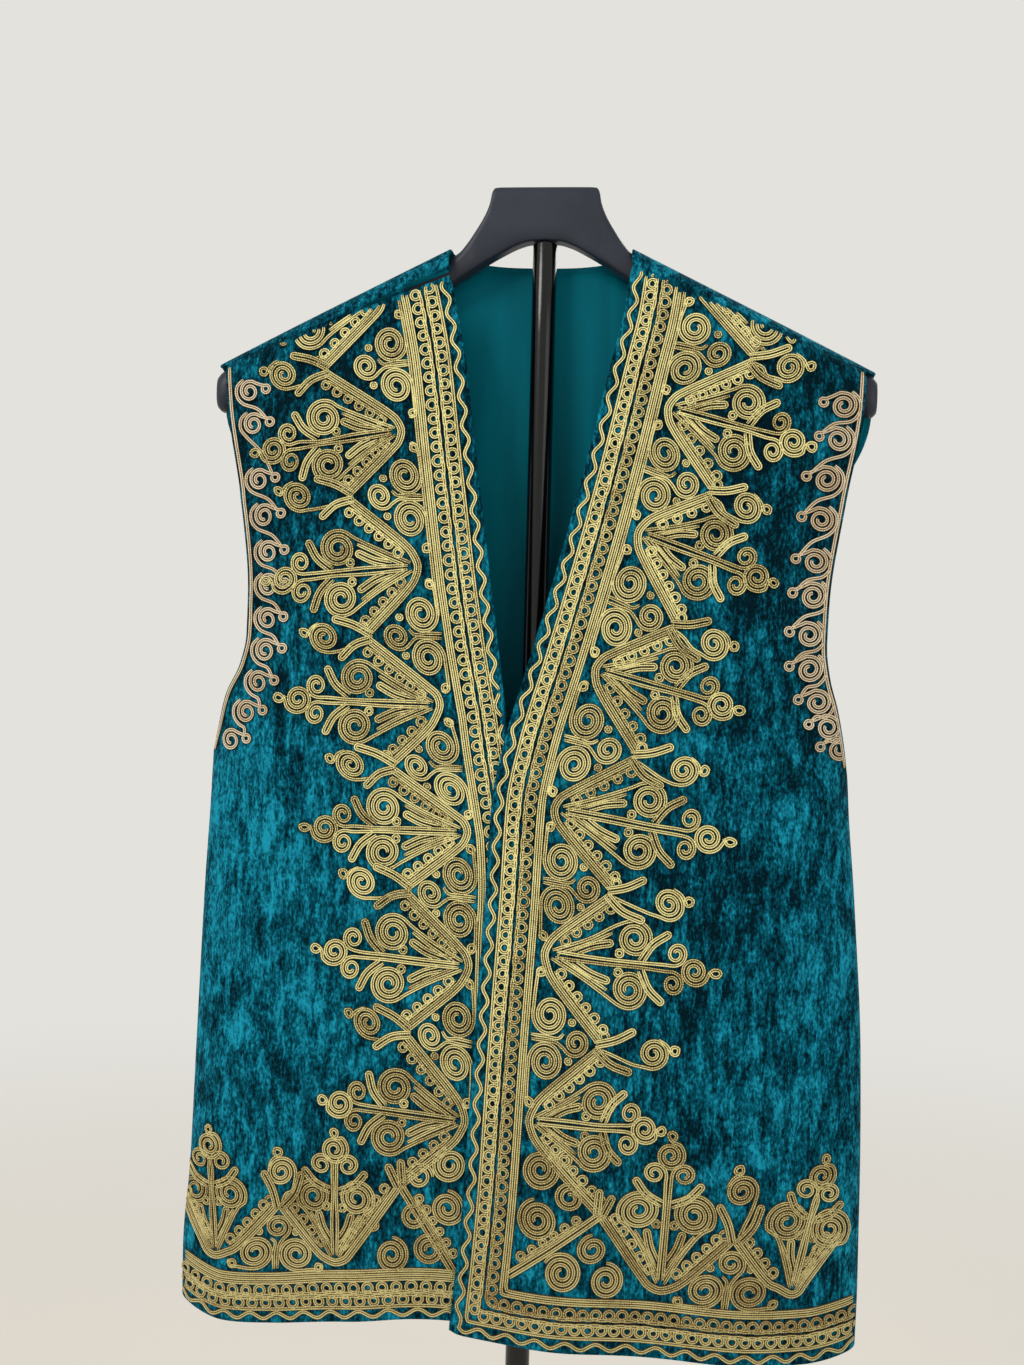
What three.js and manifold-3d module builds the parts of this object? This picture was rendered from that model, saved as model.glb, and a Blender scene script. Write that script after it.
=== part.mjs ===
// Embroidered velvet waistcoat hanging open-necked on a display stand: hanger head, pole and round base.
// Millimetres. +Z is up, -Y is the front, +X is the right-hand side as it is seen from the front.
// Heights called "rise" are measured from the chest line, just above the underarms.
import * as THREE from "three";
import { mergeVertices } from "three/addons/utils/BufferGeometryUtils.js";
import Module from "manifold-3d";

const wasm = await Module();
wasm.setup();

// Driving dimensions
const chestLine = 1120; // above the ground
const frontThickness = 2.2; // velvet, interlining and facing
const backThickness = 1.6;
const liningThickness = 1;
const liningGap = 0.6;
const seamGap = 0.4; // between two pieces where they are sewn together
const braidGap = 0.3; // between the velvet and what lies on it
const braidHeight = 1.1;
const overlapLift = 4.8; // the right front lies this far outside the left one
const neckPointRise = 288;
const shoulderSlope = 0.506;
const capHeight = 16; // how far below the ridge the cloth turns down over the hanger
const capPower = 2.5;
const tipX = 218; // half of the shoulder width
const napeRise = 280.5;
const sectionPower = 3.2;
const sectionRoot = 0.56;
const fluteDepth = 3; // soft waves of the free hem
const fluteLength = 118;
const bandMargin = 1; // plain velvet outside the border
const bandWidth = 32.6;
const edgeBraidWidth = 5;
const poleRadius = 8;
const hangerTopRise = 329;
const archRise = 293.5;
const baseRadius = 140;
const baseHeight = 12;
const bossRadius = 14;
const bossHeight = 34;

const sides = { left: -1, right: 1 };
const neckX = { left: 63, right: 59 };
const seamDropAtNeck = { left: 21, right: 13 }; // the shoulder seam lies in front of the ridge
const seamDropAtTip = 5;
const seamEndX = 210;

// Half-width of the closed oval that the body follows, the armhole's edge inside it, and its depths
const bodyRows = [
  { rise: -432, left: 229, right: 220.5, leftEdge: 229, rightEdge: 220.5, front: 38, back: 33 },
  { rise: -386, left: 229.5, right: 221.5, leftEdge: 229.5, rightEdge: 221.5, front: 38, back: 33 },
  { rise: -330, left: 226, right: 221.5, leftEdge: 226, rightEdge: 221.5, front: 38, back: 33 },
  { rise: -240, left: 223.5, right: 220, leftEdge: 223.5, rightEdge: 220, front: 37, back: 33 },
  { rise: -140, left: 220.5, right: 213.5, leftEdge: 220.5, rightEdge: 213.5, front: 36, back: 32 },
  { rise: -85, left: 218, right: 208.5, leftEdge: 218, rightEdge: 208.5, front: 36, back: 32 },
  { rise: -56, left: 217, right: 206.5, leftEdge: 217, rightEdge: 206.5, front: 36, back: 31 },
  { rise: -36, left: 217, right: 208, leftEdge: 212, rightEdge: 203, front: 36, back: 31 },
  { rise: -12, left: 218, right: 211, leftEdge: 205.5, rightEdge: 197.5, front: 35.5, back: 30 },
  { rise: 8, left: 219.5, right: 214, leftEdge: 195, rightEdge: 191.5, front: 35, back: 30 },
  { rise: 28, left: 221, right: 217, leftEdge: 190.3, rightEdge: 188.8, front: 35, back: 29 },
  { rise: 56, left: 224, right: 221, leftEdge: 190, rightEdge: 189.6, front: 34.5, back: 28 },
  { rise: 120, left: 233, right: 231, leftEdge: 197.3, rightEdge: 198.6, front: 31, back: 25 },
  { rise: 184, left: 252, right: 252, leftEdge: 208.3, rightEdge: 209.2, front: 26, back: 22 },
  { rise: 210, left: 262, right: 262, leftEdge: 210, rightEdge: 210, front: 23.5, back: 20.5 },
  { rise: 290, left: 275, right: 275, leftEdge: 210, rightEdge: 210, front: 16, back: 17 },
];

// Front edges, from the hem up along the closure and the V of the neck to the shoulder seam
const frontEdgeRows = {
  left: [
    { rise: -420, x: 12 },
    { rise: -220, x: 8 },
    { rise: -140, x: 3 },
    { rise: -80, x: -6 },
    { rise: -34, x: -14.2 },
    { rise: 53, x: -26.7 },
    { rise: 149, x: -40.8 },
    { rise: 214, x: -50.2 },
    { rise: 246, x: -56.9 },
    { rise: 270, x: -62.6 },
  ],
  right: [
    { rise: -425, x: -41.5 },
    { rise: -333, x: -34 },
    { rise: -236, x: -29.5 },
    { rise: -140, x: -24.4 },
    { rise: -76, x: -21.5 },
    { rise: -36, x: -14.2 },
    { rise: 21, x: 1.8 },
    { rise: 85, x: 19.1 },
    { rise: 150, x: 34.8 },
    { rise: 214, x: 48.5 },
    { rise: 245, x: 55.3 },
    { rise: 278, x: 59.5 },
  ],
};

const hemRows = {
  left: [
    { x: -230, rise: -419 },
    { x: -195, rise: -426 },
    { x: -160, rise: -424 },
    { x: -110, rise: -416 },
    { x: -65, rise: -411.5 },
    { x: -20, rise: -413.5 },
    { x: 15, rise: -415 },
  ],
  right: [
    { x: -42, rise: -416 },
    { x: -34, rise: -419.5 },
    { x: 0, rise: -422.5 },
    { x: 60, rise: -426 },
    { x: 120, rise: -429 },
    { x: 185, rise: -431.5 },
    { x: 222, rise: -426 },
  ],
};
const backHemRise = -421;

// Embroidery: where each V starts on the border, and the far tips of the palmettes in and between the Vs
const palmetteRows = {
  left: [
    { rise: 163, tipX: -181, tipRise: 148, upperX: -170, upperRise: 200 },
    { rise: 74, tipX: -172, tipRise: 63, upperX: -165, upperRise: 117 },
    { rise: -16, tipX: -164, tipRise: -14, upperX: -147, upperRise: 26 },
    { rise: -97, tipX: -144, tipRise: -98, upperX: -127, upperRise: -56 },
    { rise: -184, tipX: -134, tipRise: -177, upperX: -117, upperRise: -131 },
    { rise: -284, tipX: -122, tipRise: -277, upperX: -111, upperRise: -221 },
  ],
  right: [
    { rise: 180, tipX: 170, tipRise: 156, upperX: 166, upperRise: 205 },
    { rise: 99, tipX: 152, tipRise: 68, upperX: 146, upperRise: 112 },
    { rise: 11, tipX: 132, tipRise: -14, upperX: 127, upperRise: 24 },
    { rise: -79, tipX: 128, tipRise: -98, upperX: 110, upperRise: -56 },
    { rise: -172, tipX: 121, tipRise: -182, upperX: 103, upperRise: -140 },
    { rise: -278, tipX: 106, tipRise: -269, upperX: 96, upperRise: -235 },
  ],
};
const hemPalmetteRows = {
  left: [
    { name: "hem_palmette_1", x: -203, half: 20, tipRise: -297 },
    { name: "hem_palmette_2", x: -158, half: 22, tipRise: -308 },
    { name: "hem_palmette_3", x: -117, half: 16, tipRise: -296 },
  ],
  right: [
    { name: "hem_palmette_1", x: 93, half: 21, tipRise: -294 },
    { name: "hem_palmette_2", x: 138, half: 21, tipRise: -310 },
    { name: "hem_palmette_3", x: 184, half: 23, tipRise: -297 },
  ],
};
const crossingReach = 52; // from the border to where two neighbouring V arms cross

const colours = {
  velvet: { color: 0x0b5363, roughness: 0.75, metalness: 0 },
  lining: { color: 0x04505f, roughness: 0.5, metalness: 0 },
  gold: { color: 0xb8a262, roughness: 0.45, metalness: 0.3 },
  plastic: { color: 0x34373f, roughness: 0.45, metalness: 0 },
  blackPaint: { color: 0x08080a, roughness: 0.25, metalness: 0 },
};

const lerp = (a, b, t) => a + (b - a) * t;
const smooth = (from, to, at) => {
  const t = Math.min(1, Math.max(0, (at - from) / (to - from)));
  return t * t * (3 - 2 * t);
};

// A smooth curve through a table's rows that never swings past them.
function curveThrough(rows, along, column) {
  const at = rows.map((row) => row[along]);
  const value = rows.map((row) => row[column]);
  const last = rows.length - 1;
  const slope = at.slice(1).map((a, i) => (value[i + 1] - value[i]) / (a - at[i]));
  const tangent = at.map((_, i) => {
    if (i === 0) return slope[0];
    if (i === last) return slope[last - 1];
    const [before, after] = [slope[i - 1], slope[i]];
    return before * after <= 0 ? 0 : (2 * before * after) / (before + after);
  });
  return (x) => {
    if (x <= at[0]) return value[0];
    if (x >= at[last]) return value[last];
    const i = at.findIndex((a) => a > x) - 1;
    const width = at[i + 1] - at[i];
    const t = (x - at[i]) / width;
    const ends = value[i] * (1 + 2 * t) * (1 - t) ** 2 + value[i + 1] * t * t * (3 - 2 * t);
    return ends + width * t * (1 - t) * (tangent[i] * (1 - t) - tangent[i + 1] * t);
  };
}

const ovalHalf = { left: curveThrough(bodyRows, "rise", "left"), right: curveThrough(bodyRows, "rise", "right") };
const sideEdge = {
  left: curveThrough(bodyRows, "rise", "leftEdge"),
  right: curveThrough(bodyRows, "rise", "rightEdge"),
};
const frontDepth = curveThrough(bodyRows, "rise", "front");
const backDepth = curveThrough(bodyRows, "rise", "back");
const frontEdge = {
  left: curveThrough(frontEdgeRows.left, "rise", "x"),
  right: curveThrough(frontEdgeRows.right, "rise", "x"),
};
const hem = { left: curveThrough(hemRows.left, "x", "rise"), right: curveThrough(hemRows.right, "x", "rise") };

const sideOf = (x) => (x < 0 ? "left" : "right");
const ridgeRise = (x) => neckPointRise - shoulderSlope * (Math.abs(x) - neckX[sideOf(x)]);
const seamDrop = (side, x) => {
  const t = (Math.abs(x) - neckX[side]) / (seamEndX - neckX[side]);
  return lerp(seamDropAtNeck[side], seamDropAtTip, Math.min(1, Math.max(0, t)));
};
const napeCurve = (x) => lerp(napeRise, neckPointRise, Math.min(1, Math.abs(x) / neckX[sideOf(x)]) ** 3);

// How far the cloth stands from the middle plane: an oval with long flat sides, rounded over the shoulders.
function standOff(x, rise, depthAt) {
  const side = sideOf(x);
  const across = Math.min(1, Math.abs(x) / ovalHalf[side](rise));
  const oval = (1 - across ** sectionPower) ** sectionRoot;
  const below = Math.min(1, Math.max(0, (ridgeRise(x) - rise) / capHeight));
  const cap = (1 - (1 - below) ** capPower) ** (1 / capPower);
  return depthAt(rise) * oval * cap;
}

function frontY(side, x, rise) {
  const lower = smooth(-150, -430, rise);
  const flat = 1 - Math.min(1, Math.abs(x) / ovalHalf[sideOf(x)](rise)) ** 4;
  const flute = fluteDepth * lower * flat * Math.cos((2 * Math.PI * (x - 24)) / fluteLength);
  const lift = side === "right" ? overlapLift * (1 - smooth(30, 130, x)) * smooth(268, 150, rise) : 0;
  return -seamGap / 2 - standOff(x, rise, frontDepth) - lift - flute;
}

const backY = (x, rise) => seamGap / 2 + standOff(x, rise, backDepth);

// A point of a surface and the way out of the cloth there. The surface is upright at its rims, so the
// slope is taken a little inside them.
function surfacePoint(yAt, outward, x, rise) {
  const step = 0.05;
  const insideX = x - (x < 0 ? -step : step);
  const insideRise = rise - step;
  const y = yAt(x, rise);
  const slopeX = (y - yAt(insideX, rise)) / (x - insideX);
  const slopeUp = (y - yAt(x, insideRise)) / step;
  const normal = new THREE.Vector3(-slopeX, 1, -slopeUp).multiplyScalar(outward).normalize();
  return { at: new THREE.Vector3(x, y, chestLine + rise), normal };
}

const frontPoint = (side, x, rise) => surfacePoint((a, b) => frontY(side, a, b), -1, x, rise);
const backPoint = (x, rise) => surfacePoint(backY, 1, x, rise);

// Rows run from the hem up to the shoulder seam and columns from left to right, as seen from the front.
function frontGrid(side) {
  const fromSide = [0, 0.025, 0.075, 0.16, 0.29, 0.46, 0.62, 0.745, 0.87, 1];
  const upwards = [0, 0.06, 0.14, 0.24, 0.34, 0.44, 0.53, 0.58, 0.615, 0.65, 0.7, 0.77, 0.85, 0.92, 0.97, 1];
  const sign = sides[side];
  const hemSide = hem[side](sign * 222);
  const hemFront = hem[side](side === "left" ? 12 : -41.5);
  const seamRise = (x) => ridgeRise(x) - seamDrop(side, x) - seamGap / 2;
  const seamSide = seamRise(sign * seamEndX);
  const seamFront = seamRise(sign * neckX[side]);
  const across = side === "left" ? fromSide : [...fromSide].reverse();
  return upwards.map((v) => {
    const sideRise = lerp(hemSide, seamSide, v);
    const frontRise = lerp(hemFront, seamFront, v);
    return across.map((t) => {
      const x = lerp(sign * sideEdge[side](sideRise), frontEdge[side](frontRise), t);
      const hemWave = (hem[side](x) - lerp(hemSide, hemFront, t)) * (1 - v) ** 2;
      return frontPoint(side, x, lerp(sideRise, frontRise, t) + hemWave);
    });
  });
}

// How far from the middle the neckline is where it lies this far below the ridge line.
function necklineReach(side, drop) {
  let [low, high] = [0, neckX[side]];
  for (let i = 0; i < 24; i++) {
    const x = (low + high) / 2;
    if (napeCurve(sides[side] * x) > ridgeRise(sides[side] * x) - drop) high = x;
    else low = x;
  }
  return high;
}

// Rows run up the back and, beside the neck, over the shoulders to the seam in front; columns from right to left.
function backGrid() {
  const wing = [1, 0.97, 0.88, 0.73, 0.52, 0.26, 0]; // shares of the way from the neckline to the side
  const nape = [0.5]; // shares of the way from the middle to the neckline
  const half = [...wing.map((t) => ({ wing: t })), ...nape.map((t) => ({ nape: t }))];
  const columns = half.map((column) => ({ side: "right", ...column }));
  columns.push({ side: "right", nape: 0 });
  columns.push(...half.reverse().map((column) => ({ side: "left", ...column })));
  const upwards = [0, 0.1, 0.22, 0.34, 0.46, 0.56, 0.62, 0.68, 0.75, 0.84, 0.93, 1];
  const ridgeDrops = [10, 5, 1.5, 0]; // below the ridge, behind it
  const seamShares = [0.1, 0.4, 1]; // of the seam's drop, in front of the ridge
  const place = ({ side, wing: outer, nape: inner }, neck, edge) =>
    sides[side] * (outer === undefined ? inner * neck : lerp(neck, edge, outer));
  const grid = upwards.map((v) =>
    columns.map((column) => {
      const sideRise = lerp(backHemRise, ridgeRise(tipX) - capHeight, v);
      const reach = lerp(sideEdge[column.side](sideRise), tipX, smooth(120, 190, sideRise));
      const x = place(column, (necklineReach(column.side, capHeight) * reach) / tipX, reach);
      const top = column.wing === undefined ? napeCurve(x) : ridgeRise(x) - capHeight;
      return backPoint(x, lerp(backHemRise, top, v));
    }),
  );
  const shoulderRow = (make) => columns.map((column) => (column.wing === undefined ? null : make(column)));
  for (const drop of ridgeDrops)
    grid.push(
      shoulderRow((column) => {
        const x = place(column, necklineReach(column.side, drop), tipX);
        return backPoint(x, ridgeRise(x) - drop);
      }),
    );
  for (const share of seamShares)
    grid.push(
      shoulderRow((column) => {
        const x = place(column, neckX[column.side], lerp(tipX, seamEndX, share));
        return frontPoint(column.side, x, ridgeRise(x) - share * (seamDrop(column.side, x) - seamGap / 2));
      }),
    );
  return grid;
}

// The rows of the back below the shoulders, drawn in from its rims: what its lining covers.
function liningGrid(back) {
  const main = back.filter((row) => row.every((point) => point));
  const between = (p, q, t) => ({
    at: p.at.clone().lerp(q.at, t),
    normal: p.normal.clone().lerp(q.normal, t).normalize(),
  });
  const drawnIn = (line, inset) => {
    const [last, beforeLast] = [line[line.length - 1], line[line.length - 2]];
    return [between(line[0], line[1], inset), ...line.slice(1, -1), between(last, beforeLast, inset)];
  };
  const rows = main.map((row) => drawnIn(row, 0.5));
  const inset = rows[0].map((_, c) => drawnIn(rows.map((row) => row[c]), 0.08));
  return rows.map((row, r) => row.map((_, c) => inset[c][r]));
}

// The closed wall between two distances outside a grid's surface.
function wallSolid(grid, inner, outer, keepClear = () => {}) {
  const positions = [];
  const indexOf = new Map();
  const vertex = (r, c, distance, layer) => {
    const key = [r, c, layer].join();
    if (!indexOf.has(key)) {
      indexOf.set(key, positions.length / 3);
      const point = grid[r][c].at.clone().addScaledVector(grid[r][c].normal, distance);
      keepClear(point, r);
      positions.push(...point.toArray());
    }
    return indexOf.get(key);
  };
  const faces = [];
  const rims = new Map();
  for (let r = 0; r + 1 < grid.length; r++)
    for (let c = 0; c + 1 < grid[r].length; c++) {
      const corners = [[r, c], [r, c + 1], [r + 1, c + 1], [r + 1, c]];
      if (corners.some(([i, j]) => !grid[i][j])) continue;
      const [a, b, d, e] = corners.map(([i, j]) => vertex(i, j, outer, "outer"));
      faces.push(a, b, d, a, d, e);
      const [f, g, h, k] = corners.map(([i, j]) => vertex(i, j, inner, "inner"));
      faces.push(f, h, g, f, k, h);
      corners.forEach((corner, i) => {
        const next = corners[(i + 1) % 4];
        const back = [...next, ...corner].join();
        if (rims.has(back)) rims.delete(back);
        else rims.set([...corner, ...next].join(), [corner, next]);
      });
    }
  for (const [from, to] of rims.values()) {
    const [a, b] = [from, to].map(([i, j]) => vertex(i, j, outer, "outer"));
    const [f, g] = [from, to].map(([i, j]) => vertex(i, j, inner, "inner"));
    faces.push(a, f, g, a, g, b);
  }
  return solidFrom(positions, faces);
}

function solidFrom(positions, faces) {
  return new wasm.Manifold(
    new wasm.Mesh({ numProp: 3, vertProperties: new Float32Array(positions), triVerts: new Uint32Array(faces) }),
  );
}

function solidOfGeometry(geometry) {
  geometry.deleteAttribute("normal");
  geometry.deleteAttribute("uv");
  const merged = mergeVertices(geometry, 1e-4);
  return solidFrom(merged.attributes.position.array, merged.index.array);
}

function geometryOf(solid) {
  const mesh = solid.getMesh();
  return new THREE.BufferGeometry()
    .setAttribute("position", new THREE.BufferAttribute(mesh.vertProperties, 3))
    .setIndex(new THREE.BufferAttribute(mesh.triVerts, 1));
}

// An outline seen from the front, pushed outwards by a margin, as a prism through the whole front.
function prismOf(outline, margin) {
  const clockwise = THREE.ShapeUtils.isClockWise(outline) ? 1 : -1;
  const count = outline.length;
  const moved = outline.map((point, i) => {
    const before = point.clone().sub(outline[(i + count - 1) % count]).normalize();
    const after = outline[(i + 1) % count].clone().sub(point).normalize();
    const tangent = before.add(after).normalize();
    return point.clone().add(new THREE.Vector2(-tangent.y, tangent.x).multiplyScalar(clockwise * margin));
  });
  const prism = new THREE.ExtrudeGeometry(new THREE.Shape(moved), { depth: 100, bevelEnabled: false });
  prism.rotateX(Math.PI / 2);
  prism.translate(0, -1.5, chestLine);
  return solidOfGeometry(prism);
}

const pointsAlong = (from, to, count, make) =>
  Array.from({ length: count + 1 }, (_, i) => make(lerp(from, to, i / count)));

// The strip between two distances inside the edge that a function of the rise gives.
const edgeStrip = (edge, inward, near, far, from, to, count) => [
  ...pointsAlong(from, to, count, (rise) => new THREE.Vector2(edge(rise) + inward * near, rise)),
  ...pointsAlong(to, from, count, (rise) => new THREE.Vector2(edge(rise) + inward * far, rise)),
];

// Outlines of what is sewn on one front, named, in the order in which they are laid down.
function embroideryOutlines(side) {
  const sign = sides[side];
  const edge = frontEdge[side];
  const inner = bandMargin + bandWidth;
  const corner = hem[side](sign * 20) + inner;
  const outlines = [];
  const add = (name, points) => outlines.push({ name, points });
  const along = (x, rise) => new THREE.Vector2(x, rise);

  add("edge_band", edgeStrip(edge, sign, bandMargin, inner, hem[side](edge(-400)) + bandMargin + 0.5, 285, 16));
  const hemFrom = edge(corner) + sign * (inner + 0.6);
  add("hem_band", [
    ...pointsAlong(hemFrom, sign * 232, 10, (x) => along(x, hem[side](x) + bandMargin)),
    ...pointsAlong(sign * 232, hemFrom, 10, (x) => along(x, hem[side](x) + inner)),
  ]);
  const armhole = (rise) => sign * sideEdge[side](rise);
  add("armhole_braid", edgeStrip(armhole, -sign, 1.5, 1.5 + edgeBraidWidth, -40, 230, 14));
  add("armhole_scrolls", edgeStrip(armhole, -sign, 7.5, 28, -52, 230, 12));

  const rows = palmetteRows[side];
  const border = (rise) => along(edge(rise) + sign * (inner + 0.8), rise);
  const seat = (i) => {
    if (i < 0) return border(rows[0].rise + 86);
    return i < rows.length ? border(rows[i].rise) : border(corner + 1);
  };
  const crossing = (i) => {
    const middle = seat(i - 1).add(seat(i)).multiplyScalar(0.5);
    const row = rows[Math.min(i, rows.length - 1)];
    const aim = i < rows.length ? along(row.upperX, row.upperRise) : along(middle.x + sign * 70, middle.y + 18);
    return middle.clone().add(aim.sub(middle).setLength(i < rows.length ? crossingReach : 52));
  };
  const lobed = (from, tip, start, wide, half) => {
    const way = tip.clone().sub(from);
    const across = along(-way.y, way.x).normalize().multiplyScalar(half);
    const at = (share, spread) => from.clone().addScaledVector(way, share).addScaledVector(across, spread);
    return { up: [at(start, 0.8), at(wide, 1), at(0.97, 0.25)], down: [at(0.97, -0.25), at(wide, -1), at(start, -0.8)] };
  };
  rows.forEach((row, i) => {
    const lobes = lobed(seat(i), along(row.tipX, row.tipRise), 0.62, 0.78, 17);
    const turn = sign > 0 ? [lobes.up, lobes.down] : [[...lobes.down].reverse(), [...lobes.up].reverse()];
    const shift = along(0, 8);
    add(`palmette_${i + 1}`, [
      seat(i),
      crossing(i).sub(shift),
      ...turn[0],
      ...turn[1],
      crossing(i + 1).add(shift),
    ]);
  });
  rows.forEach((row, i) => {
    const from = seat(i - 1).add(seat(i)).multiplyScalar(0.5);
    const lobes = lobed(from, along(row.upperX, row.upperRise), 0.78, 0.88, 11);
    const turn = sign > 0 ? [lobes.up, lobes.down] : [[...lobes.down].reverse(), [...lobes.up].reverse()];
    add(`spandrel_${i + 1}`, [
      seat(i - 1).sub(along(0, 2)),
      crossing(i).add(along(0, 5)),
      ...turn[0],
      ...turn[1],
      crossing(i).sub(along(0, 5)),
      seat(i).add(along(0, 2)),
    ]);
  });
  const last = seat(rows.length - 1);
  const foot = seat(rows.length);
  const reach = crossing(rows.length);
  const first = sign > 0 ? hemPalmetteRows.right[0] : hemPalmetteRows.left[2];
  const hemTop = (x) => hem[side](x) + inner + 0.8;
  const stop = first.x - sign * (first.half + 2);
  add("corner_spandrel", [
    last.sub(along(0, 3)),
    reach.add(along(0, 2)),
    along(stop, reach.y - 14),
    along(stop, hemTop(stop)),
    along(foot.x, hemTop(foot.x)),
  ]);
  for (const { name, x, half, tipRise } of hemPalmetteRows[side])
    add(name, [
      along(x - half, hemTop(x - half)),
      along(x - half, lerp(hemTop(x), tipRise, 0.42)),
      along(x - 0.6 * half, lerp(hemTop(x), tipRise, 0.75)),
      along(x - 3, tipRise),
      along(x + 3, tipRise),
      along(x + 0.6 * half, lerp(hemTop(x), tipRise, 0.75)),
      along(x + half, lerp(hemTop(x), tipRise, 0.42)),
      along(x + half, hemTop(x + half)),
    ]);
  return outlines;
}

// Thin plates of the embroidery's reach, cut from the panel's own surface moved out.
function embroideryParts(side, grid) {
  const layer = wallSolid(grid, braidGap, braidGap + braidHeight, inFront);
  const taken = [];
  return embroideryOutlines(side).map(({ name, points }) => {
    let plate = layer.intersect(prismOf(points, 0));
    for (const earlier of taken) plate = plate.subtract(earlier);
    taken.push(prismOf(points, 0.5));
    const largest = plate.decompose().sort((a, b) => b.volume() - a.volume())[0];
    return { name: `front_${side}_${name}`, solid: largest };
  });
}

// Hanger: one moulding, lofted from end to end. Each station is a rounded section with its own top and underside.
const hangerRows = [
  { x: 0, top: 329, foot: 293.5, half: 8.5, power: 7 },
  { x: 9, top: 329, foot: 293.2, half: 8.5, power: 7 },
  { x: 17, top: 329, foot: 291, half: 8.5, power: 7 },
  { x: 29, top: 329, foot: 285, half: 8.5, power: 7 },
  { x: 33.6, top: 328.6, foot: 282.4, half: 8.5, power: 7 },
  { x: 35.6, top: 326, foot: 281.2, half: 8.5, power: 7 },
  { x: 37, top: 319, foot: 280.4, half: 8.5, power: 6.5 },
  { x: 39.5, top: 312, foot: 278.8, half: 8.6, power: 6 },
  { x: 42.6, top: 306, foot: 276.8, half: 8.7, power: 5.5 },
  { x: 46.5, top: 299.6, foot: 274.2, half: 8.8, power: 5 },
  { x: 51, top: 293, foot: 271.2, half: 8.6, power: 4 },
  { x: 57, top: 286.2, foot: 267, half: 8.4, power: 3 },
  { x: 64, top: 282, foot: 262, half: 8.4, power: 2.6 },
  { x: 90, top: 269, foot: 247, half: 9.6, power: 2.8 },
  { x: 130, top: 248.8, foot: 225, half: 10.4, power: 2.6 },
  { x: 175, top: 226, foot: 200.5, half: 10.8, power: 2.6 },
  { x: 205, top: 210.8, foot: 184, half: 10.8, power: 2.6 },
  { x: 216, top: 205.2, foot: 178.4, half: 10.4, power: 2.6 },
  { x: 219, top: 202, foot: 181, half: 8, power: 2.6 },
];
const hangerSides = 14;

function hangerSolid() {
  const stations = [...hangerRows.slice(1).reverse().map((row) => ({ ...row, x: -row.x })), ...hangerRows];
  const positions = [];
  const faces = [];
  for (const { x, top, foot, half, power } of stations) {
    const middle = (top + foot) / 2;
    for (let i = 0; i < hangerSides; i++) {
      const turn = (2 * Math.PI * (i + 0.5)) / hangerSides;
      const reach = (Math.abs(Math.cos(turn)) ** power + Math.abs(Math.sin(turn)) ** power) ** (-1 / power);
      const y = half * reach * Math.cos(turn);
      positions.push(x, y, chestLine + middle + ((top - foot) / 2) * reach * Math.sin(turn));
    }
  }
  const ring = (s, i) => s * hangerSides + (i % hangerSides);
  for (let s = 0; s + 1 < stations.length; s++)
    for (let i = 0; i < hangerSides; i++)
      faces.push(ring(s, i), ring(s, i + 1), ring(s + 1, i + 1), ring(s, i), ring(s + 1, i + 1), ring(s + 1, i));
  const end = stations.length - 1;
  for (let i = 1; i + 1 < hangerSides; i++) {
    faces.push(ring(0, 0), ring(0, i + 1), ring(0, i));
    faces.push(ring(end, 0), ring(end, i), ring(end, i + 1));
  }
  return solidFrom(positions, faces);
}

function poleGeometry() {
  const foot = 6.3;
  const top = chestLine + archRise - 0.8;
  const pole = new THREE.CylinderGeometry(poleRadius, poleRadius, top - foot, 32);
  pole.rotateX(Math.PI / 2);
  pole.translate(0, 0, (top + foot) / 2);
  return pole;
}

function baseGeometry() {
  const bore = poleRadius + 0.3;
  const edge = 4;
  const profile = [
    [0, 0],
    [baseRadius - 2, 0],
    [baseRadius, 2],
    [baseRadius, 6],
    [baseRadius - 1.2, 6 + edge * 0.5],
    [baseRadius - edge, 9.2],
    [baseRadius * 0.5, baseHeight - 0.8],
    [bossRadius + 6, baseHeight],
    [bossRadius + 1.5, baseHeight + 2],
    [bossRadius, baseHeight + 6],
    [bossRadius, bossHeight - 2],
    [bossRadius - 1.5, bossHeight],
    [bore, bossHeight],
    [bore, 6],
    [0, 6],
  ];
  const base = new THREE.LatheGeometry(profile.map(([r, z]) => new THREE.Vector2(r, z)), 44);
  base.rotateX(Math.PI / 2);
  return base;
}

const vestOnStand = new THREE.Group();
const inFront = (point) => {
  point.y = Math.min(point.y, -seamGap / 2);
};

function addPart(name, geometry, finish) {
  const mesh = new THREE.Mesh(geometry, new THREE.MeshStandardMaterial(colours[finish]));
  mesh.name = name;
  vestOnStand.add(mesh);
}

for (const side of ["left", "right"]) {
  const grid = frontGrid(side);
  addPart(`front_${side}`, geometryOf(wallSolid(grid, -frontThickness, 0, inFront)), "velvet");
  for (const { name, solid } of embroideryParts(side, grid)) addPart(name, geometryOf(solid), "gold");
}
const back = backGrid();
const backMain = back.findIndex((row) => row.includes(null));
const behind = (point, row) => {
  if (row < backMain) point.y = Math.max(point.y, seamGap / 2);
};
addPart("back", geometryOf(wallSolid(back, -backThickness, 0, behind)), "velvet");
const liningOuter = -backThickness - liningGap;
const lining = wallSolid(liningGrid(back), liningOuter - liningThickness, liningOuter, behind);
addPart("back_lining", geometryOf(lining), "lining");
addPart("hanger", geometryOf(hangerSolid()), "plastic");
addPart("pole", poleGeometry(), "blackPaint");
addPart("base", baseGeometry(), "blackPaint");

export default vestOnStand;
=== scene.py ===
import math

import bpy
import numpy as np
from mathutils import Matrix, Vector


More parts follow.
